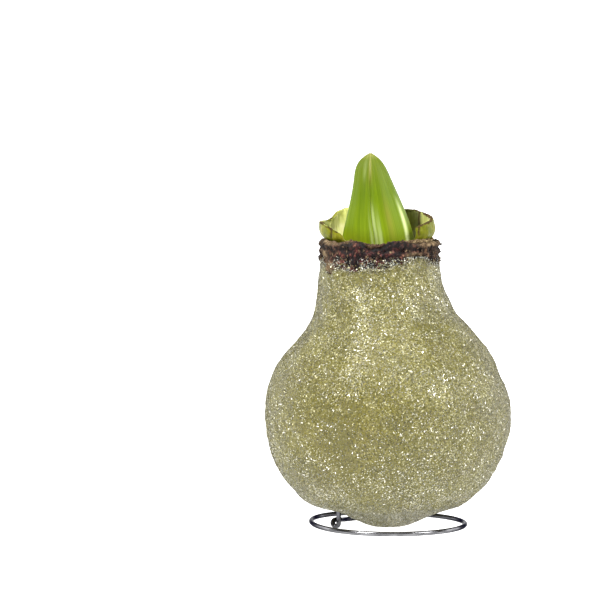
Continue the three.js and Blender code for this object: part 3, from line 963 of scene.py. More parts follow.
layers = []
for number, (foot, head, top, thickness) in enumerate(INNER_LAYERS):

    def section_at(degrees):
        tear = noise.noise(Vector((degrees * 0.35, number * 5.0, 2)))
        tear += 0.5 * noise.noise(Vector((degrees * 1.4, number * 5.0, 7)))
        lean = 0.35 * noise.noise(Vector((degrees * 0.18, number * 3.0, 4)))
        drop = LOW_BY * bell(turn_to(degrees, LOW_AT), LOW_HALF)
        return thin_section(foot, head + lean, bulb_top, top + 0.7 * tear - drop, thickness, 9)

    arc = np.arange(INNER_REACH[0] + 3 * number, INNER_REACH[1] - 2 * number, INNER_STEP)
    layers.append(wall(f"layer {number}", arc, section_at, inner_skin))
inner = joined("inner_tunic_layers", layers)
here = places(inner.data) / MM
free = smoothstep(here[:, 2], bulb_top + 1, bulb_top + 3)
crumple = 0.3 * clumps(here * (1, 1, 0.3), 2.5, seed=31) + 0.1 * clumps(here, 0.8, seed=32)
here += neck_outward(here) * (free * crumple)[:, None]
put(inner.data, here * MM)
paint(inner.data, "damp", 0.9 * bell(turn_to(neck_angle(here), DAMP_INSIDE_AT), DAMP_INSIDE_HALF))
# Painted shade: the skins darken towards the bulb's top, deep in the neck.
paint(inner.data, "shade_and_dark_marks", 0.6 * smoothstep(bulb_top + 3.5 - here[:, 2], 0, 2))
paint(inner.data, "fresh", np.zeros(len(here)))
keep(inner, "inner_dry_skin", "inner_tunic")

# %% [markdown]
# ## The cut top of the bulb
#
# Before waxing, the old leaves are cut off, and the cut shows that a bulb is built of scales, one round
# the other, like an onion. The body of the bulb is hidden in the wax, so the measured solid stays as it
# is and gets its material. What can be seen, by looking down into the neck, are the cut edges of the
# scales, and those are added as low uneven ridges.

# %% Fresh bulb flesh
# Living storage leaves, cut across: pale yellow-green, moist, with a browned rim on each scale. In mm,
# the thickness of a scale; Blender's ring wave of scale 1 has its rings 2 pi / 20 apart.
SCALE = 3.2
WAVE_LENGTH = math.tau / 20
flesh, tree, shader = new_material("cut bulb flesh")
space = add(tree, "ShaderNodeTexCoord").outputs["Object"]
centred = add(tree, "ShaderNodeMapping", {"Vector": space, "Location": (-NECK[0] * MM, -NECK[1] * MM, 0)})
rings = add(
    tree,
    "ShaderNodeTexWave",
    {"Vector": centred, "Scale": WAVE_LENGTH / (SCALE * MM), "Distortion": 1.5, "Detail": 2},
    wave_type="RINGS",
    rings_direction="Z",
)
mottle = add(tree, "ShaderNodeTexNoise", {"Vector": space, "Scale": 1 / (2 * MM), "Detail": 4})
scale_tint = add(
    tree,
    "ShaderNodeValToRGB",
    {"Fac": rings.outputs["Fac"]},
    [(0, "#8a8a4c"), (0.5, "#b9b77c"), (0.9, "#cfc996"), (1, "#8f7446")],
)
spots = add(tree, "ShaderNodeValToRGB", {"Fac": mottle}, [(0.35, "#b08f5c"), (0.55, "#ffffff")])
spotted = {0: 0.7, 6: scale_tint, 7: spots}
flesh_tint = add(tree, "ShaderNodeMix", spotted, data_type="RGBA", blend_type="MULTIPLY")
relief = add(tree, "ShaderNodeBump", {"Height": mottle, "Strength": 0.4, "Distance": 0.3 * MM})
moist = {"Value": mottle, "From Min": 0.3, "From Max": 0.7, "To Min": 0.4, "To Max": 0.7}
damp_look = add(tree, "ShaderNodeMapRange", moist)
fill(tree, shader, {"Base Color": flesh_tint, "Normal": relief, "Roughness": damp_look, "IOR": 1.4})
body = frame["nodes"]["bulb"]
body.data.materials.clear()
body.data.materials.append(flesh)
print("bulb flesh nodes:", len(tree.nodes))

# %% The edges of the cut scales
# Radius, first and last angle, height above the cut.
SCALE_EDGES = [(15.2, 60, 82, 1.0), (13.5, -6, 190, 1.3), (9.4, 8, 165, 1.6), (7.8, 30, 150, 1.1)]
edges = []
for number, (radius, first, last, rise) in enumerate(SCALE_EDGES):

    def section_at(degrees):
        wander = 0.25 * noise.noise(Vector((degrees * 0.05, number * 4.0, 3)))
        top = bulb_top + rise * (0.75 + 0.5 * noise.noise(Vector((degrees * 0.12, number * 2.0, 6))))
        return thin_section(radius + wander, radius + wander + 0.2, bulb_top - 0.1, top, 0.55, 4)

    edges.append(wall(f"edge {number}", np.arange(first, last, 1.6), section_at, flesh))
scale_edges = joined("cut_scale_edges", edges)
keep(scale_edges, "bulb_flesh")

# %% [markdown]
# ## The leaf bases
#
# Three stubs of cut leaves stand in the neck. Each is the fleshy foot of a leaf that wrapped round the
# bud: yellow-green outside, paler and smoother inside, and brown and corky along the cut. Their measured
# solids have the right walls with coarse facets, so welded copies are subdivided and pushed about by
# noise. Two attributes, worked out from each vertex's place, tell the material where the cut is and
# which side is the inside.

# %% Fleshy leaf base
# Living leaf tissue full of water: satin, slightly translucent, with upright veins. In mm: the distance
# between the veins, and the size of the patches of deeper and paler green.
VEIN = 0.8
MOTTLE = 5
leaf_flesh, tree, shader = new_material("fleshy leaf base")
space = add(tree, "ShaderNodeTexCoord").outputs["Object"]
slow = add(tree, "ShaderNodeTexNoise", {"Vector": space, "Scale": 1 / (MOTTLE * MM), "Detail": 4})
upright = add(tree, "ShaderNodeMapping", {"Vector": space, "Scale": (1, 1, 0.08)})
veins = add(tree, "ShaderNodeTexNoise", {"Vector": upright, "Scale": 1 / (VEIN * MM), "Detail": 2})
outside_greens = [(0.3, "#52580a"), (0.5, "#686910"), (0.66, "#7a761e")]
outside = add(tree, "ShaderNodeValToRGB", {"Fac": slow}, outside_greens)
inside_greens = [(0.3, "#aeb05e"), (0.5, "#bec174"), (0.7, "#cbc890")]
inside = add(tree, "ShaderNodeValToRGB", {"Fac": slow}, inside_greens)
inner_side = add(tree, "ShaderNodeAttribute", attribute_name="inside").outputs["Fac"]
side_tint = add(tree, "ShaderNodeMix", {0: inner_side, 6: outside, 7: inside}, data_type="RGBA")
shade = add(tree, "ShaderNodeAttribute", attribute_name="shade").outputs["Fac"]
shaded = add(tree, "ShaderNodeMix", {0: shade, 6: side_tint, 7: linear("#3a4204")}, data_type="RGBA")
streaks = add(tree, "ShaderNodeValToRGB", {"Fac": veins}, [(0.34, "#c4c69a"), (0.6, "#ffffff")])
streaked = {0: 0.6, 6: shaded, 7: streaks}
veined = add(tree, "ShaderNodeMix", streaked, data_type="RGBA", blend_type="MULTIPLY")
cut = add(tree, "ShaderNodeAttribute", attribute_name="cut").outputs["Fac"]
browned = add(tree, "ShaderNodeValToRGB", {"Fac": slow}, [(0.35, "#180e07"), (0.6, "#3e2b19")])
leaf_tint = add(tree, "ShaderNodeMix", {0: cut, 6: veined, 7: browned}, data_type="RGBA")
relief = add(tree, "ShaderNodeBump", {"Height": veins, "Strength": 0.35, "Distance": 0.25 * MM})
satin = add(tree, "ShaderNodeMapRange", {"Value": cut, "To Min": 0.38, "To Max": 0.85})
fill(
    tree,
    shader,
    {
        "Base Color": leaf_tint,
        "Normal": relief,
        "Roughness": satin,
        "IOR": 1.4,
        "Specular IOR Level": 0.08,
        "Subsurface Weight": 0.12,
        "Subsurface Radius": (1.0, 0.9, 0.3),
        "Subsurface Scale": 1.2 * MM,
    },
)
print("leaf base material nodes:", len(tree.nodes))

# %% The three stubs
# Creases of each stub, on its outside or its inside: X, height of its upper end, length, depth.
CREASES = {
    "leaf_base_left": ((-20.7, 108.5, 5, 0.3, False),),
    "leaf_base_right": ((11.4, 113.5, 6.5, 0.35, True), (10.6, 107.5, 3, 0.2, False)),
    "leaf_base_back": (),
}
# How far the outside of a stub is filled out, in mm, because subdivision has drawn it in.
FILL_OUT = 0.5
# How dark the inside of each stub is: the right one is a deep fold, the left one lies open to the light.
INSIDE_SHADE = {"leaf_base_left": 0.0, "leaf_base_right": 0.85, "leaf_base_back": 0.3}
# Where the rim of a stub has sagged: angle, half its width in degrees, and how far in mm.
SAGS = {"leaf_base_left": (154, 10, 1.4)}
for number, node in enumerate(INSIDE_SHADE):
    top = top_of(node, reach=7)
    levels = 2 if node == "leaf_base_back" else 3
    stub = subdivided(show(f"{node}_flesh", welded(node, f"{node}_flesh"), leaf_flesh), levels)
    here = places(stub.data) / MM
    away = neck_outward(here)
    angle = neck_angle(here)
    face = (normals(stub.data) * away).sum(axis=1)
    free = smoothstep(here[:, 2], bulb_top + 3, bulb_top + 6)
    fold = 0.3 * clumps(here * (1, 1, 0.2), 3.5, seed=41 + number) + 0.07 * clumps(here, 1.1, seed=44)
    here += away * (free * (fold + FILL_OUT * smoothstep(face, 0.1, 0.5)))[:, None]
    inside = smoothstep(-face, -0.1, 0.3)
    crease = np.zeros(len(here))
    for x, upper, length, depth, on_inside in CREASES[node]:
        wander = 0.35 * clumps(here * (0.1, 0.1, 1), 3.0, seed=52)
        along = smoothstep(here[:, 2], upper - length, upper - length + 1.5)
        line = bell(here[:, 0] - x + wander, 0.4) * along
        crease += line * (inside if on_inside else 1 - inside)
        here += away * (-depth * line * free)[:, None]
    if node in SAGS:
        at, half_angle, drop = SAGS[node]
        lower = drop * bell(turn_to(angle, at), half_angle) / (top(angle) - bulb_top)
        here[:, 2] -= np.maximum(here[:, 2] - bulb_top, 0) * lower
    below = top(angle) - here[:, 2] + 0.2 * clumps(here, 1.5, seed=47)
    here[:, 2] -= free * 0.25 * np.abs(clumps(here, 1.3, seed=48)) * smoothstep(below, 2.5, 0.5)
    put(stub.data, here * MM)
    rim = smoothstep(below, 0.5, 0.15) * smoothstep(clumps(here, 1.6, seed=49), -0.75, -0.1)
    if node == "leaf_base_left":
        # Its rim has browned in front only.
        rim *= smoothstep(here[:, 1], 2, -1)
    spots = smoothstep(clumps(here, 1.1, seed=50), 0.62, 0.8) * smoothstep(below, 5, 1.5)
    paint(stub.data, "cut", np.clip(rim + 0.7 * spots * (1 - 0.7 * inside) + 0.9 * crease, 0, 0.95))
    paint(stub.data, "inside", inside)
    deep = INSIDE_SHADE[node] * inside * smoothstep(here[:, 0], 12.5, 10.5)
    paint(stub.data, "shade", deep + 0.5 * INSIDE_SHADE[node] * (1 - inside))
    keep(stub, "leaf_base", node)

# %% [markdown]
# ## The flower bud
#
# The bud is a spathe: two green valves that meet edge to edge round the flowers, parted along a seam in
# front and behind. The valves are taut and glossy, with fine veins that run from foot to tip, a few
# long folds, and pale margins where they meet. A subdivided box could be pushed into this shape by hand.
# Here it is a loft instead: the middle, width and depth of each ring are measured from the solids, a
# closed curve gives the section, and the folds are added along lines that follow the valve.

# %% Measuring the bud
# Rings of each valve, points of a ring across the outside, and points of it back along the seam.
BUD_ROWS = 110
VALVE_STEPS = 64
SEAM_STEPS = 10
valve_points = np.concatenate(
    [places(frame["nodes"][node].data) / MM for node in ("bud_valve_left", "bud_valve_right")]
)


def crossing(node, height):
    """The points in which a measured solid's triangle edges cross a height, in millimetres."""
    mesh = frame["nodes"][node].data
    points = places(mesh) / MM
    edges = np.empty(len(mesh.edges) * 2, dtype=int)
    mesh.edges.foreach_get("vertices", edges)
    a, b = points[edges[::2]], points[edges[1::2]]
    over = (a[:, 2] - height) * (b[:, 2] - height) < 0
    a, b = a[over], b[over]
    share = (height - a[:, 2]) / (b[:, 2] - a[:, 2])
    return a[:, :2] + share[:, None] * (b - a)[:, :2]


bud_low, bud_high = valve_points[:, 2].min(), valve_points[:, 2].max()
MEASURED_HEIGHTS = 48
heights = np.linspace(bud_low + 0.05, bud_high - 0.05, MEASURED_HEIGHTS)
measured = []
for height in heights:
    left, right = crossing("bud_valve_left", height), crossing("bud_valve_right", height)
    both = np.concatenate([left, right])
    (x0, y0), (x1, y1) = both.min(axis=0), both.max(axis=0)
    seam = (left[:, 0].max() + right[:, 0].min()) / 2
    measured.append(((x0 + x1) / 2, (y0 + y1) / 2, (x1 - x0) / 2, (y1 - y0) / 2, seam))
measured = np.array(measured)
for _ in range(2):
    measured[1:-1] = (measured[:-2] + 2 * measured[1:-1] + measured[2:]) / 4


def bud_at(height):
    """Middle in X and Y, half width, half depth and the seam's X at a height."""
    return [np.interp(height, heights, column) for column in measured.T]


print("bud, mm:", round(bud_high - bud_low, 1), "tall,", round(2 * measured[:, 2].max(), 1), "wide")

# %% The section of the bud
# Front ridge first, then to the right and round; shares of the half width and half depth.
BUD_SECTION = [
    (0.04, -1), (0.46, -0.88), (0.82, -0.6), (1, -0.05), (0.74, 0.62), (0, 1), (-0.7, 0.64),
    (-1, 0.02), (-0.62, -0.62),
]


def closed_curve(points, count):
    """Evenly counted points on a smooth closed curve through these points."""
    points = np.array(points)
    made = []
    for share in np.arange(count) / count * len(points):
        i, t = int(share), share % 1
        a, b, c, d = (points[(i + k) % len(points)] for k in (-1, 0, 1, 2))
        bend, twist = 2 * a - 5 * b + 4 * c - d, 3 * b - a - 3 * c + d
        made.append(0.5 * (2 * b + (c - a) * t + bend * t**2 + twist * t**3))
    return np.array(made)


SECTION_COUNT = 720
section = closed_curve(BUD_SECTION, SECTION_COUNT)
section = (section - (section.max(axis=0) + section.min(axis=0)) / 2) / (np.ptp(section, axis=0) / 2)
turn_share = np.arange(SECTION_COUNT) / SECTION_COUNT
in_front = (turn_share < 0.22) | (turn_share > 0.78)


def seam_turns(share_x):
    """Where on the section the seam lies in front and behind, from 0 to 1 round it."""
    def nearest(chosen):
        return turn_share[chosen][np.argmin(np.abs(section[chosen, 0] - share_x))]

    front, behind = nearest(in_front), nearest(~in_front)
    return (front - 1 if front > 0.5 else front), behind


def on_section(turns):
    """The points of the section at these places, from 0 to 1 round it."""
    turns = np.asarray(turns)
    return np.stack([np.interp(turns, turn_share, column, period=1) for column in section.T], axis=-1)


print("section points:", len(section), "of them in front:", int(in_front.sum()))

# %% The two valves
SEAM_GAP = 0.05
# Folds of each valve: place across it from the front seam to the back one, width, and rise in mm.
FOLDS = {
    "left": [
        (0.02, 0.03, 0.2), (0.085, 0.03, -0.14), (0.2, 0.07, 0.12), (0.33, 0.05, -0.1),
        (0.6, 0.06, 0.25),
    ],
    "right": [
        (0.03, 0.03, 0.3), (0.1, 0.035, -0.16), (0.24, 0.08, 0.12), (0.4, 0.03, -0.2),
        (0.46, 0.03, 0.3), (0.68, 0.06, 0.2),
    ],
}


def valve_rings(side):
    """Rings of one valve: across its outside from the front seam to the back, and back along the seam."""
    rings, across = [], np.linspace(0, 1, VALVE_STEPS)
    for row in range(BUD_ROWS):
        share = row / (BUD_ROWS - 1)
        height = bud_low + 0.02 + (bud_high - bud_low - 0.04) * (1 - (1 - share) ** 1.5)
        x, y, width, depth, seam = bud_at(height)
        front, behind = seam_turns(np.clip((seam - x) / width, -0.95, 0.95))
        last = behind if side == "right" else behind - 1
        turns = front + (last - front) * across
        outline = on_section(turns)
        scale = min(1.0, width / 6)
        rise = sum(high * bell(across - place, wide) for place, wide, high in FOLDS[side])
        rise = rise - 0.12 * (bell(across, 0.01) + bell(across - 1, 0.01))
        rise = rise + 0.03 * np.sin(across * 260 + 3 * noise.noise(Vector((height * 0.05, 0, 0))))
        length = np.linalg.norm(outline, axis=1, keepdims=True)
        grown = outline * (1 + (rise * scale / max(width, 1.2))[:, None] / length)
        grown = np.clip(grown, -1, 1)
        outside = np.array([x, y]) + grown * (width, depth)
        edge = seam + SEAM_GAP / 2 * (1 if side == "right" else -1)
        if side == "right":
            outside[:, 0] = np.maximum(outside[:, 0], edge)
        else:
            outside[:, 0] = np.minimum(outside[:, 0], edge)
        inner = np.linspace(outside[-1], outside[0], SEAM_STEPS + 2)[1:-1]
        inner[:, 0] = seam
        flat_ring = np.concatenate([outside, inner])
        rings.append(np.column_stack([flat_ring, np.full(len(flat_ring), height)]))
    return np.array(rings)


# %% [markdown]
# ### Waxy green leaf
#
# The valve's skin is alive: a thin clear wax bloom over green tissue, so it has a soft gloss, lets a
# little light through, and is paler where the veins crowd at its margins. The tint is read from three
# attributes: how high a point is, how pale it is, at the margins and where highlights are painted on its
# side and near its tip, and how much it has browned.

# %% Bud skin
# Living leaf surface with its own wax: smooth, satin to glossy, faintly translucent.
bud_skin, tree, shader = new_material("waxy green bud skin")
surface = add(tree, "ShaderNodeUVMap", uv_map="surface")
along = add(tree, "ShaderNodeMapping", {"Vector": surface, "Scale": (95, 1.6, 1)})
veins = add(tree, "ShaderNodeTexNoise", {"Vector": along, "Scale": 1.0, "Detail": 3})
broad = add(tree, "ShaderNodeMapping", {"Vector": surface, "Scale": (16, 1.2, 1)})
stripes = add(tree, "ShaderNodeTexNoise", {"Vector": broad, "Scale": 1.0, "Detail": 2})
tall, pale_and_highlight, warm = (
    add(tree, "ShaderNodeAttribute", attribute_name=name).outputs["Fac"] for name in ("tall", "pale_and_highlight", "warm")
)
foot_to_tip = [(0.2, "#6e7808"), (0.45, "#627408"), (0.7, "#526408"), (0.95, "#56621a"), (1.0, "#7c7b48")]
green = add(tree, "ShaderNodeValToRGB", {"Fac": tall}, foot_to_tip)
stripe_tint = add(tree, "ShaderNodeValToRGB", {"Fac": stripes}, [(0.35, "#dfe6b8"), (0.62, "#ffffff")])
stripe_layer = {0: 0.8, 6: green, 7: stripe_tint}
striped = add(tree, "ShaderNodeMix", stripe_layer, data_type="RGBA", blend_type="MULTIPLY")
vein_tint = add(tree, "ShaderNodeValToRGB", {"Fac": veins}, [(0.36, "#d5dcae"), (0.6, "#ffffff")])
vein_layer = {0: 0.8, 6: striped, 7: vein_tint}
veined = add(tree, "ShaderNodeMix", vein_layer, data_type="RGBA", blend_type="MULTIPLY")
warmed = add(tree, "ShaderNodeMix", {0: warm, 6: veined, 7: linear("#74682a")}, data_type="RGBA")
# The attribute pale also carries the painted highlights.
bleached_and_highlit = add(tree, "ShaderNodeMix", {0: pale_and_highlight, 6: warmed, 7: linear("#b4bd84")}, data_type="RGBA")
relief = add(tree, "ShaderNodeBump", {"Height": veins, "Strength": 0.25, "Distance": 0.12 * MM})
fill(
    tree,
    shader,
    {
        "Base Color": bleached_and_highlit,
        "Normal": relief,
        "Roughness": 0.42,
        "IOR": 1.42,
        "Specular IOR Level": 0.1,
        "Subsurface Weight": 0.15,
        "Subsurface Radius": (0.8, 1.0, 0.2),
        "Subsurface Scale": 1.5 * MM,
    },
)
print("bud skin nodes:", len(tree.nodes))

# %% Making and tinting the valves
# Places across a valve go from 0 at the front seam to 1 at the back one, and up it from 0 to 1.
for side in ("left", "right"):
    rings = valve_rings(side)
    valve = loft(f"bud_valve_{side}_skin", rings, bud_skin)
    here = places(valve.data) / MM
    across = np.tile(np.append(np.linspace(0, 1, VALVE_STEPS), np.full(SEAM_STEPS, 0.5)), BUD_ROWS)
    across = np.append(across, [0.5, 0.5])
    tall_share = (here[:, 2] - bud_low) / (bud_high - bud_low)
    paint(valve.data, "tall", tall_share)
    low_down = smoothstep(tall_share, 0.66, 0.2)
    near_tip = smoothstep(tall_share, 0.78, 0.92)
    margin_and_highlight = 0.25 * bell(across, 0.015) * near_tip
    tip_stain = 0.55 * bell(across, 0.03) * smoothstep(tall_share, 0.72, 0.9)
    # The right valve has a pale margin, a pale line beside it and a broad band of painted highlight at its
    # side, and a warm stain between them. The left one has a fainter line and a painted highlight near its
    # tip.
    if side == "right":
        margin_and_highlight += 0.45 * bell(across - 0.01, 0.014) * smoothstep(tall_share, 0.68, 0.5)
        margin_and_highlight += 0.6 * bell(across - 0.055, 0.016) * low_down
        band = 0.43 - 0.03 * smoothstep(tall_share, 0.6, 0.15)
        margin_and_highlight += 0.9 * bell(across - band, 0.024) * smoothstep(tall_share, 0.72, 0.5)
        stain = 0.4 * bell(across - 0.2, 0.05) * bell(tall_share - 0.5, 0.16)
    else:
        margin_and_highlight += 0.4 * bell(across - 0.03, 0.014) * low_down
        margin_and_highlight += 0.12 * bell(across - 0.12, 0.03) * bell(tall_share - 0.86, 0.06)
        stain = 0.3 * bell(across - 0.3, 0.15) * smoothstep(tall_share, 0.5, 0.2)
    paint(valve.data, "warm", stain + tip_stain)
    paint(valve.data, "pale_and_highlight", np.clip(margin_and_highlight, 0, 1))
    keep(valve, "bud", f"bud_valve_{side}")

# %% [markdown]
# ## Glass grains
#
# Crushed glass glitter is chips and splinters 0.2 to 1.2 mm long in several close tints, from olive to
# clear. Each grain has a flat face that throws the light its own way, and that is what makes the coat
# sparkle. A bump pattern can't do it, because the grains also roughen the outline. One Geometry Nodes
# tree scatters them: points on the surface, a three-sided chip on each, turned at random and leaning a
# little off the surface. It is run once for each tint, and a slow noise lets each tint gather in patches,
# as glitter does when it is poured on.

# %% A tree that scatters grains
# How much of a tint is left between its patches, and the smallest grain's share of the largest.
BETWEEN_PATCHES = 0.08
SMALLEST = 0.45
grain_inputs = dict.fromkeys(("Density", "Long", "Wide", "Tall", "Lean"), "Float")
grain_inputs |= dict.fromkeys(("Patch", "Patch Low", "Patch High"), "Float")
grain_inputs |= {"Seed": "Int", "Material": "Material"}
tree, given = geometry_tree("glass grains", grain_inputs)
place = add(tree, "GeometryNodeInputPosition")
per_patch = add(tree, "ShaderNodeMath", {0: 1.0, 1: given["Patch"]}, operation="DIVIDE")
patchy = add(tree, "ShaderNodeTexNoise", {"Vector": place, "Scale": per_patch, "Detail": 2})
share = add(
    tree,
    "ShaderNodeMapRange",
    {
        "Value": patchy,
        "From Min": given["Patch Low"],
        "From Max": given["Patch High"],
        "To Min": BETWEEN_PATCHES,
        "To Max": 1.0,
    },
)
cover = add(tree, "GeometryNodeInputNamedAttribute", {"Name": "glitter"}, data_type="FLOAT")
thinned = add(tree, "ShaderNodeMath", {0: share, 1: cover}, operation="MULTIPLY")
density = add(tree, "ShaderNodeMath", {0: thinned, 1: given["Density"]}, operation="MULTIPLY")
spots = add(
    tree,
    "GeometryNodeDistributePointsOnFaces",
    {"Mesh": given["Geometry"], "Density": density, "Seed": given["Seed"]},
)
# A three-sided spike, point down: its flat head is the face of the chip, its point holds it in the wax.
spike = {"Vertices": 3, "Radius Top": 0.58, "Radius Bottom": 0.0, "Depth": 1.0}
splinter = add(tree, "GeometryNodeMeshCone", spike)
chip = add(tree, "GeometryNodeTransform", {"Geometry": splinter, "Translation": (0, 0, -0.5)})
least = add(tree, "ShaderNodeMath", {0: given["Lean"], 1: -1.0}, operation="MULTIPLY")
lean_low = add(tree, "ShaderNodeCombineXYZ", {0: least, 1: least, 2: 0.0})
lean_high = add(tree, "ShaderNodeCombineXYZ", {0: given["Lean"], 1: given["Lean"], 2: math.tau})
any_lean = {0: lean_low, 1: lean_high, "Seed": given["Seed"]}
lean = add(tree, "FunctionNodeRandomValue", any_lean, data_type="FLOAT_VECTOR")
leaned = add(tree, "FunctionNodeEulerToRotation", {0: lean})
on_surface = {0: spots.outputs["Rotation"], 1: leaned}
turned = add(tree, "FunctionNodeRotateRotation", on_surface, rotation_space="LOCAL")
full = add(tree, "ShaderNodeCombineXYZ", {0: given["Long"], 1: given["Wide"], 2: given["Tall"]})
small = add(tree, "ShaderNodeVectorMath", {0: full, "Scale": SMALLEST}, operation="SCALE")
# Sizes are drawn from a seed of their own, well away from the other tints' seeds.
size_seed = add(tree, "ShaderNodeMath", {0: given["Seed"], 1: 50.0}, operation="ADD")
any_size = {0: small, 1: full, "Seed": size_seed}
size = add(tree, "FunctionNodeRandomValue", any_size, data_type="FLOAT_VECTOR")
laid = add(
    tree,
    "GeometryNodeInstanceOnPoints",
    {"Points": spots.outputs["Points"], "Instance": chip, "Rotation": turned, "Scale": size},
)
real = add(tree, "GeometryNodeRealizeInstances", {"Geometry": laid})
tinted = add(tree, "GeometryNodeSetMaterial", {"Geometry": real, "Material": given["Material"]})
add(tree, "NodeGroupOutput", {"Geometry": tinted})
grain_tree = tree
print("grain tree nodes:", len(tree.nodes))

# %% Where the grains lie


def open_skin(obj, wanted):
    """The chosen vertices of a piece, with the faces between them, as a mesh of their own."""
    mesh = obj.data.copy()
    work = bmesh.new()
    work.from_mesh(mesh)
    work.verts.ensure_lookup_table()
    bmesh.ops.delete(work, geom=[work.verts[i] for i in np.flatnonzero(~wanted)], context="VERTS")
    work.to_mesh(mesh)
    work.free()
    return mesh


# The grains lie a little further round the edges of the coat than its outside goes.
wanted = (facing_out(wax.data) > 0.2) & clear_of_prong(places(wax.data) / MM)
on_skin = is_outer & (height_share > -0.12) & (height_share < 0.95)
skin_part = bpy.data.objects.new("skin part", open_skin(collar, on_skin))
wax_part = bpy.data.objects.new("wax part", open_skin(wax, wanted))
both_parts = joined("grain_ground", [wax_part, skin_part])
grain_ground = both_parts.data
bpy.data.objects.remove(both_parts)
ground = places(grain_ground) / MM
# Full cover on the wax; on the skin the glass thins out upwards from the edge of the wax.
skin_angle = neck_angle(ground)
over_edge = ground[:, 2] - wax_top(skin_angle) + 1.2 * clumps(ground, 2.6, seed=4)
is_skin = np.arange(len(ground)) >= int(wanted.sum())
on_wax = 1 - 0.6 * smoothstep(over_edge, -2.6, -0.4)
# The tongue of skin came down after the dust, so it is bare.
bare = 1 - 0.95 * bell(turn_to(skin_angle, TONGUE_AT), TONGUE_HALF + 1)
# The dust blew some mm up over the skin, and highest in front.
blown = 2.7 + 2.2 * bell(turn_to(skin_angle, FRONT), 35)
on_the_skin = (1.2 * smoothstep(over_edge / blown, 1.0, -0.2) + 0.05) * bare
ground_cover = np.where(is_skin, on_the_skin, on_wax)
# Round the foot of the bulb, up to about this height, paler tints are laid more thickly: a painted glow from
# the floor below.
LIT_FOOT_HEIGHT = 20
lit_foot = bell(np.maximum(ground[:, 2] - 2, 0), LIT_FOOT_HEIGHT)
in_shaded_patch = shaded_patch_share(ground)
print("ground for the grains:", len(grain_ground.vertices), "vertices")

# %% The tints of glass
# Crushed soda-lime glass, tinted in the melt and silvered on one side: glossy, and part mirror. In the
# deepest tints little but their own colour comes back, so their specular level is lower.
# Look: colour, metallic, roughness, specular level.
# Size: grains for each square millimetre, and length.
# Patches: their size, and the noise from which the tint thins out and at which it is thickest.
# Place: how much more or less of it lies at the foot, where paler tints paint the floor's glow, and in the
# olive patch of painted shade, and its share on the skin, where mostly the finest and palest of the dust has
# stuck.
GLASS_TINTS = {
    "olive": (("#4f4b0a", 0.1, 0.36, 0.75), (1.7, 0.75), (14, 0.43, 0.56), (-0.9, 0.8, 0.15)),
    "gold": (("#655e12", 0.2, 0.34, 0.75), (1.4, 0.65), (8, 0.36, 0.64), (-0.95, 1.0, 0.2)),
    "champagne": (("#716c2d", 0.3, 0.32, 1.0), (1.2, 0.7), (14, 0.56, 0.44), (0.8, -0.5, 0.5)),
    "clear": (("#bdb99e", 0.4, 0.32, 1.0), (0.42, 0.65), (6, 0.34, 0.68), (3.6, -0.5, 2.4)),
    "grey": (("#58552f", 0.3, 0.34, 1.0), (0.55, 0.7), (9, 0.58, 0.46), (1.4, -0.9, 1.6)),
    "silver": (("#8a8c84", 0.4, 0.36, 1.0), (0.32, 0.5), (5, 0.34, 0.68), (3.5, -0.9, 9)),
    "umber": (("#5f5429", 0.2, 0.38, 0.75), (0.8, 0.75), (10, 0.48, 0.6), (0.4, -0.3, 0.5)),
    "dark": (("#2a2505", 0.1, 0.4, 0.75), (1.2, 0.7), (5, 0.44, 0.58), (-0.9, 0.2, 0.3)),
    "bright": (("#fbf8ea", 0.6, 0.12, 1.0), (0.12, 1.25), (6, 0.45, 0.6), (0, 0, 0.7)),
}
# All tints alike: times the grains above, times the length above, width and height in mm, and lean.
CROWDING = 1.65
STRETCH = 1.04
GRAIN_WIDE = 0.46
GRAIN_TALL = 0.26
GRAIN_LEAN = 13
FIRST_SEED = 11
low_corner, high_corner = (np.array(corner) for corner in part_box("wax_coat"))

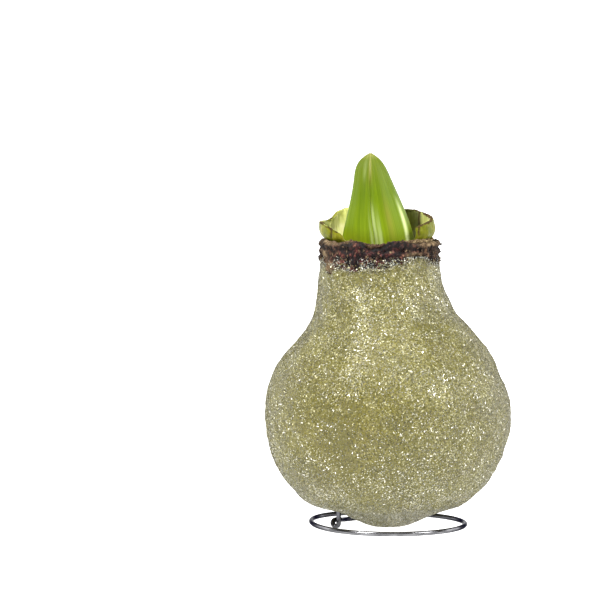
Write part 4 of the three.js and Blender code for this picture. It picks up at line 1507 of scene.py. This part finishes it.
for number, (tint, (look, grain_size, patches, lies)) in enumerate(GLASS_TINTS.items()):
    colour, metallic, roughness, specular = look
    dense, long = grain_size
    patch, patch_low, patch_high = patches
    at_lit_foot, at_shaded_patch, on_skin_share = lies
    glass, tree, shader = new_material(f"{tint} glass glitter")
    fill(
        tree,
        shader,
        {
            "Base Color": linear(colour),
            "Metallic": metallic,
            "Roughness": roughness,
            "IOR": 1.52,
            "Specular IOR Level": specular,
            "Sheen Weight": 0.45,
            "Sheen Roughness": 0.14,
            "Sheen Tint": linear("#e4e8e0"),
        },
    )
    grains = show(f"glass_grains_{tint}", grain_ground.copy())
    # Pale tints at the foot are painted light from the floor; dark ones in the olive patch are painted
    # shade.
    more = (1 + at_lit_foot * lit_foot) * (1 + at_shaded_patch * in_shaded_patch)
    paint(grains.data, "glitter", ground_cover * more * np.where(is_skin, on_skin_share, 1))
    grains = run_tree(
        grains,
        grain_tree,
        {
            "Density": dense / MM**2 * CROWDING,
            "Long": long * STRETCH * MM,
            "Wide": GRAIN_WIDE * MM,
            "Tall": GRAIN_TALL * MM,
            "Lean": math.radians(GRAIN_LEAN),
            "Patch": patch * MM,
            "Patch Low": patch_low,
            "Patch High": patch_high,
            "Seed": FIRST_SEED + number,
            "Material": glass,
        },
    )
    put(grains.data, np.clip(places(grains.data), low_corner, high_corner))
    shading(grains.data, False)
    keep(grains, "glitter_wax")

# %% [markdown]
# ## Loose flakes of skin
#
# Dry skin breaks up: scraps of it stand off the collar and catch the light along their edges. They are
# chips too, so the grain tree scatters them, larger and leaning further out. Their material is the
# collar's, and each point of them takes its tone from where it lies.

# %% Flakes on the collar
# In mm, flakes for each square mm, and degrees.
FLAKE_LONG = 2.2
FLAKE_WIDE = 1.3
FLAKE_THICK = 0.7
FLAKES_PER_AREA = 0.55
FLAKE_LEAN = 38
loose = is_outer & (height_share > 0.05) & (height_share < 0.93)
flakes = show("skin_flakes", open_skin(collar, loose))
paint(flakes.data, "glitter", (0.35 + 0.65 * damp[loose]) * (1 - 0.7 * dry_share[loose]))
flakes = run_tree(
    flakes,
    grain_tree,
    {
        "Density": FLAKES_PER_AREA / MM**2,
        "Long": FLAKE_LONG * MM,
        "Wide": FLAKE_WIDE * MM,
        "Tall": FLAKE_THICK * MM,
        "Lean": math.radians(FLAKE_LEAN),
        "Patch": 4 * MM,
        "Patch Low": 0.4,
        "Patch High": 0.55,
        "Seed": 71,
        "Material": outer_skin,
    },
)
here = places(flakes.data) / MM
stain = bell(turn_to(neck_angle(here), FRONT), DAMP_HALF)
paint(flakes.data, "damp", np.clip(1.2 * stain, 0, 1))
paint(flakes.data, "fresh", smoothstep(clumps(here, 1.2, seed=73), 0.1, 0.5))
paint(flakes.data, "shade_and_dark_marks", 0.4 * smoothstep(clumps(here, 1.0, seed=74), 0.0, 0.4))
shading(flakes.data, False)
keep(flakes, "dry_skin")

# %% Measure and finish
sizes = {"cad": cad_box, "visual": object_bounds()}
for name, box in sizes.items():
    print(name, [[round(value / MM, 2) for value in corner] for corner in box])
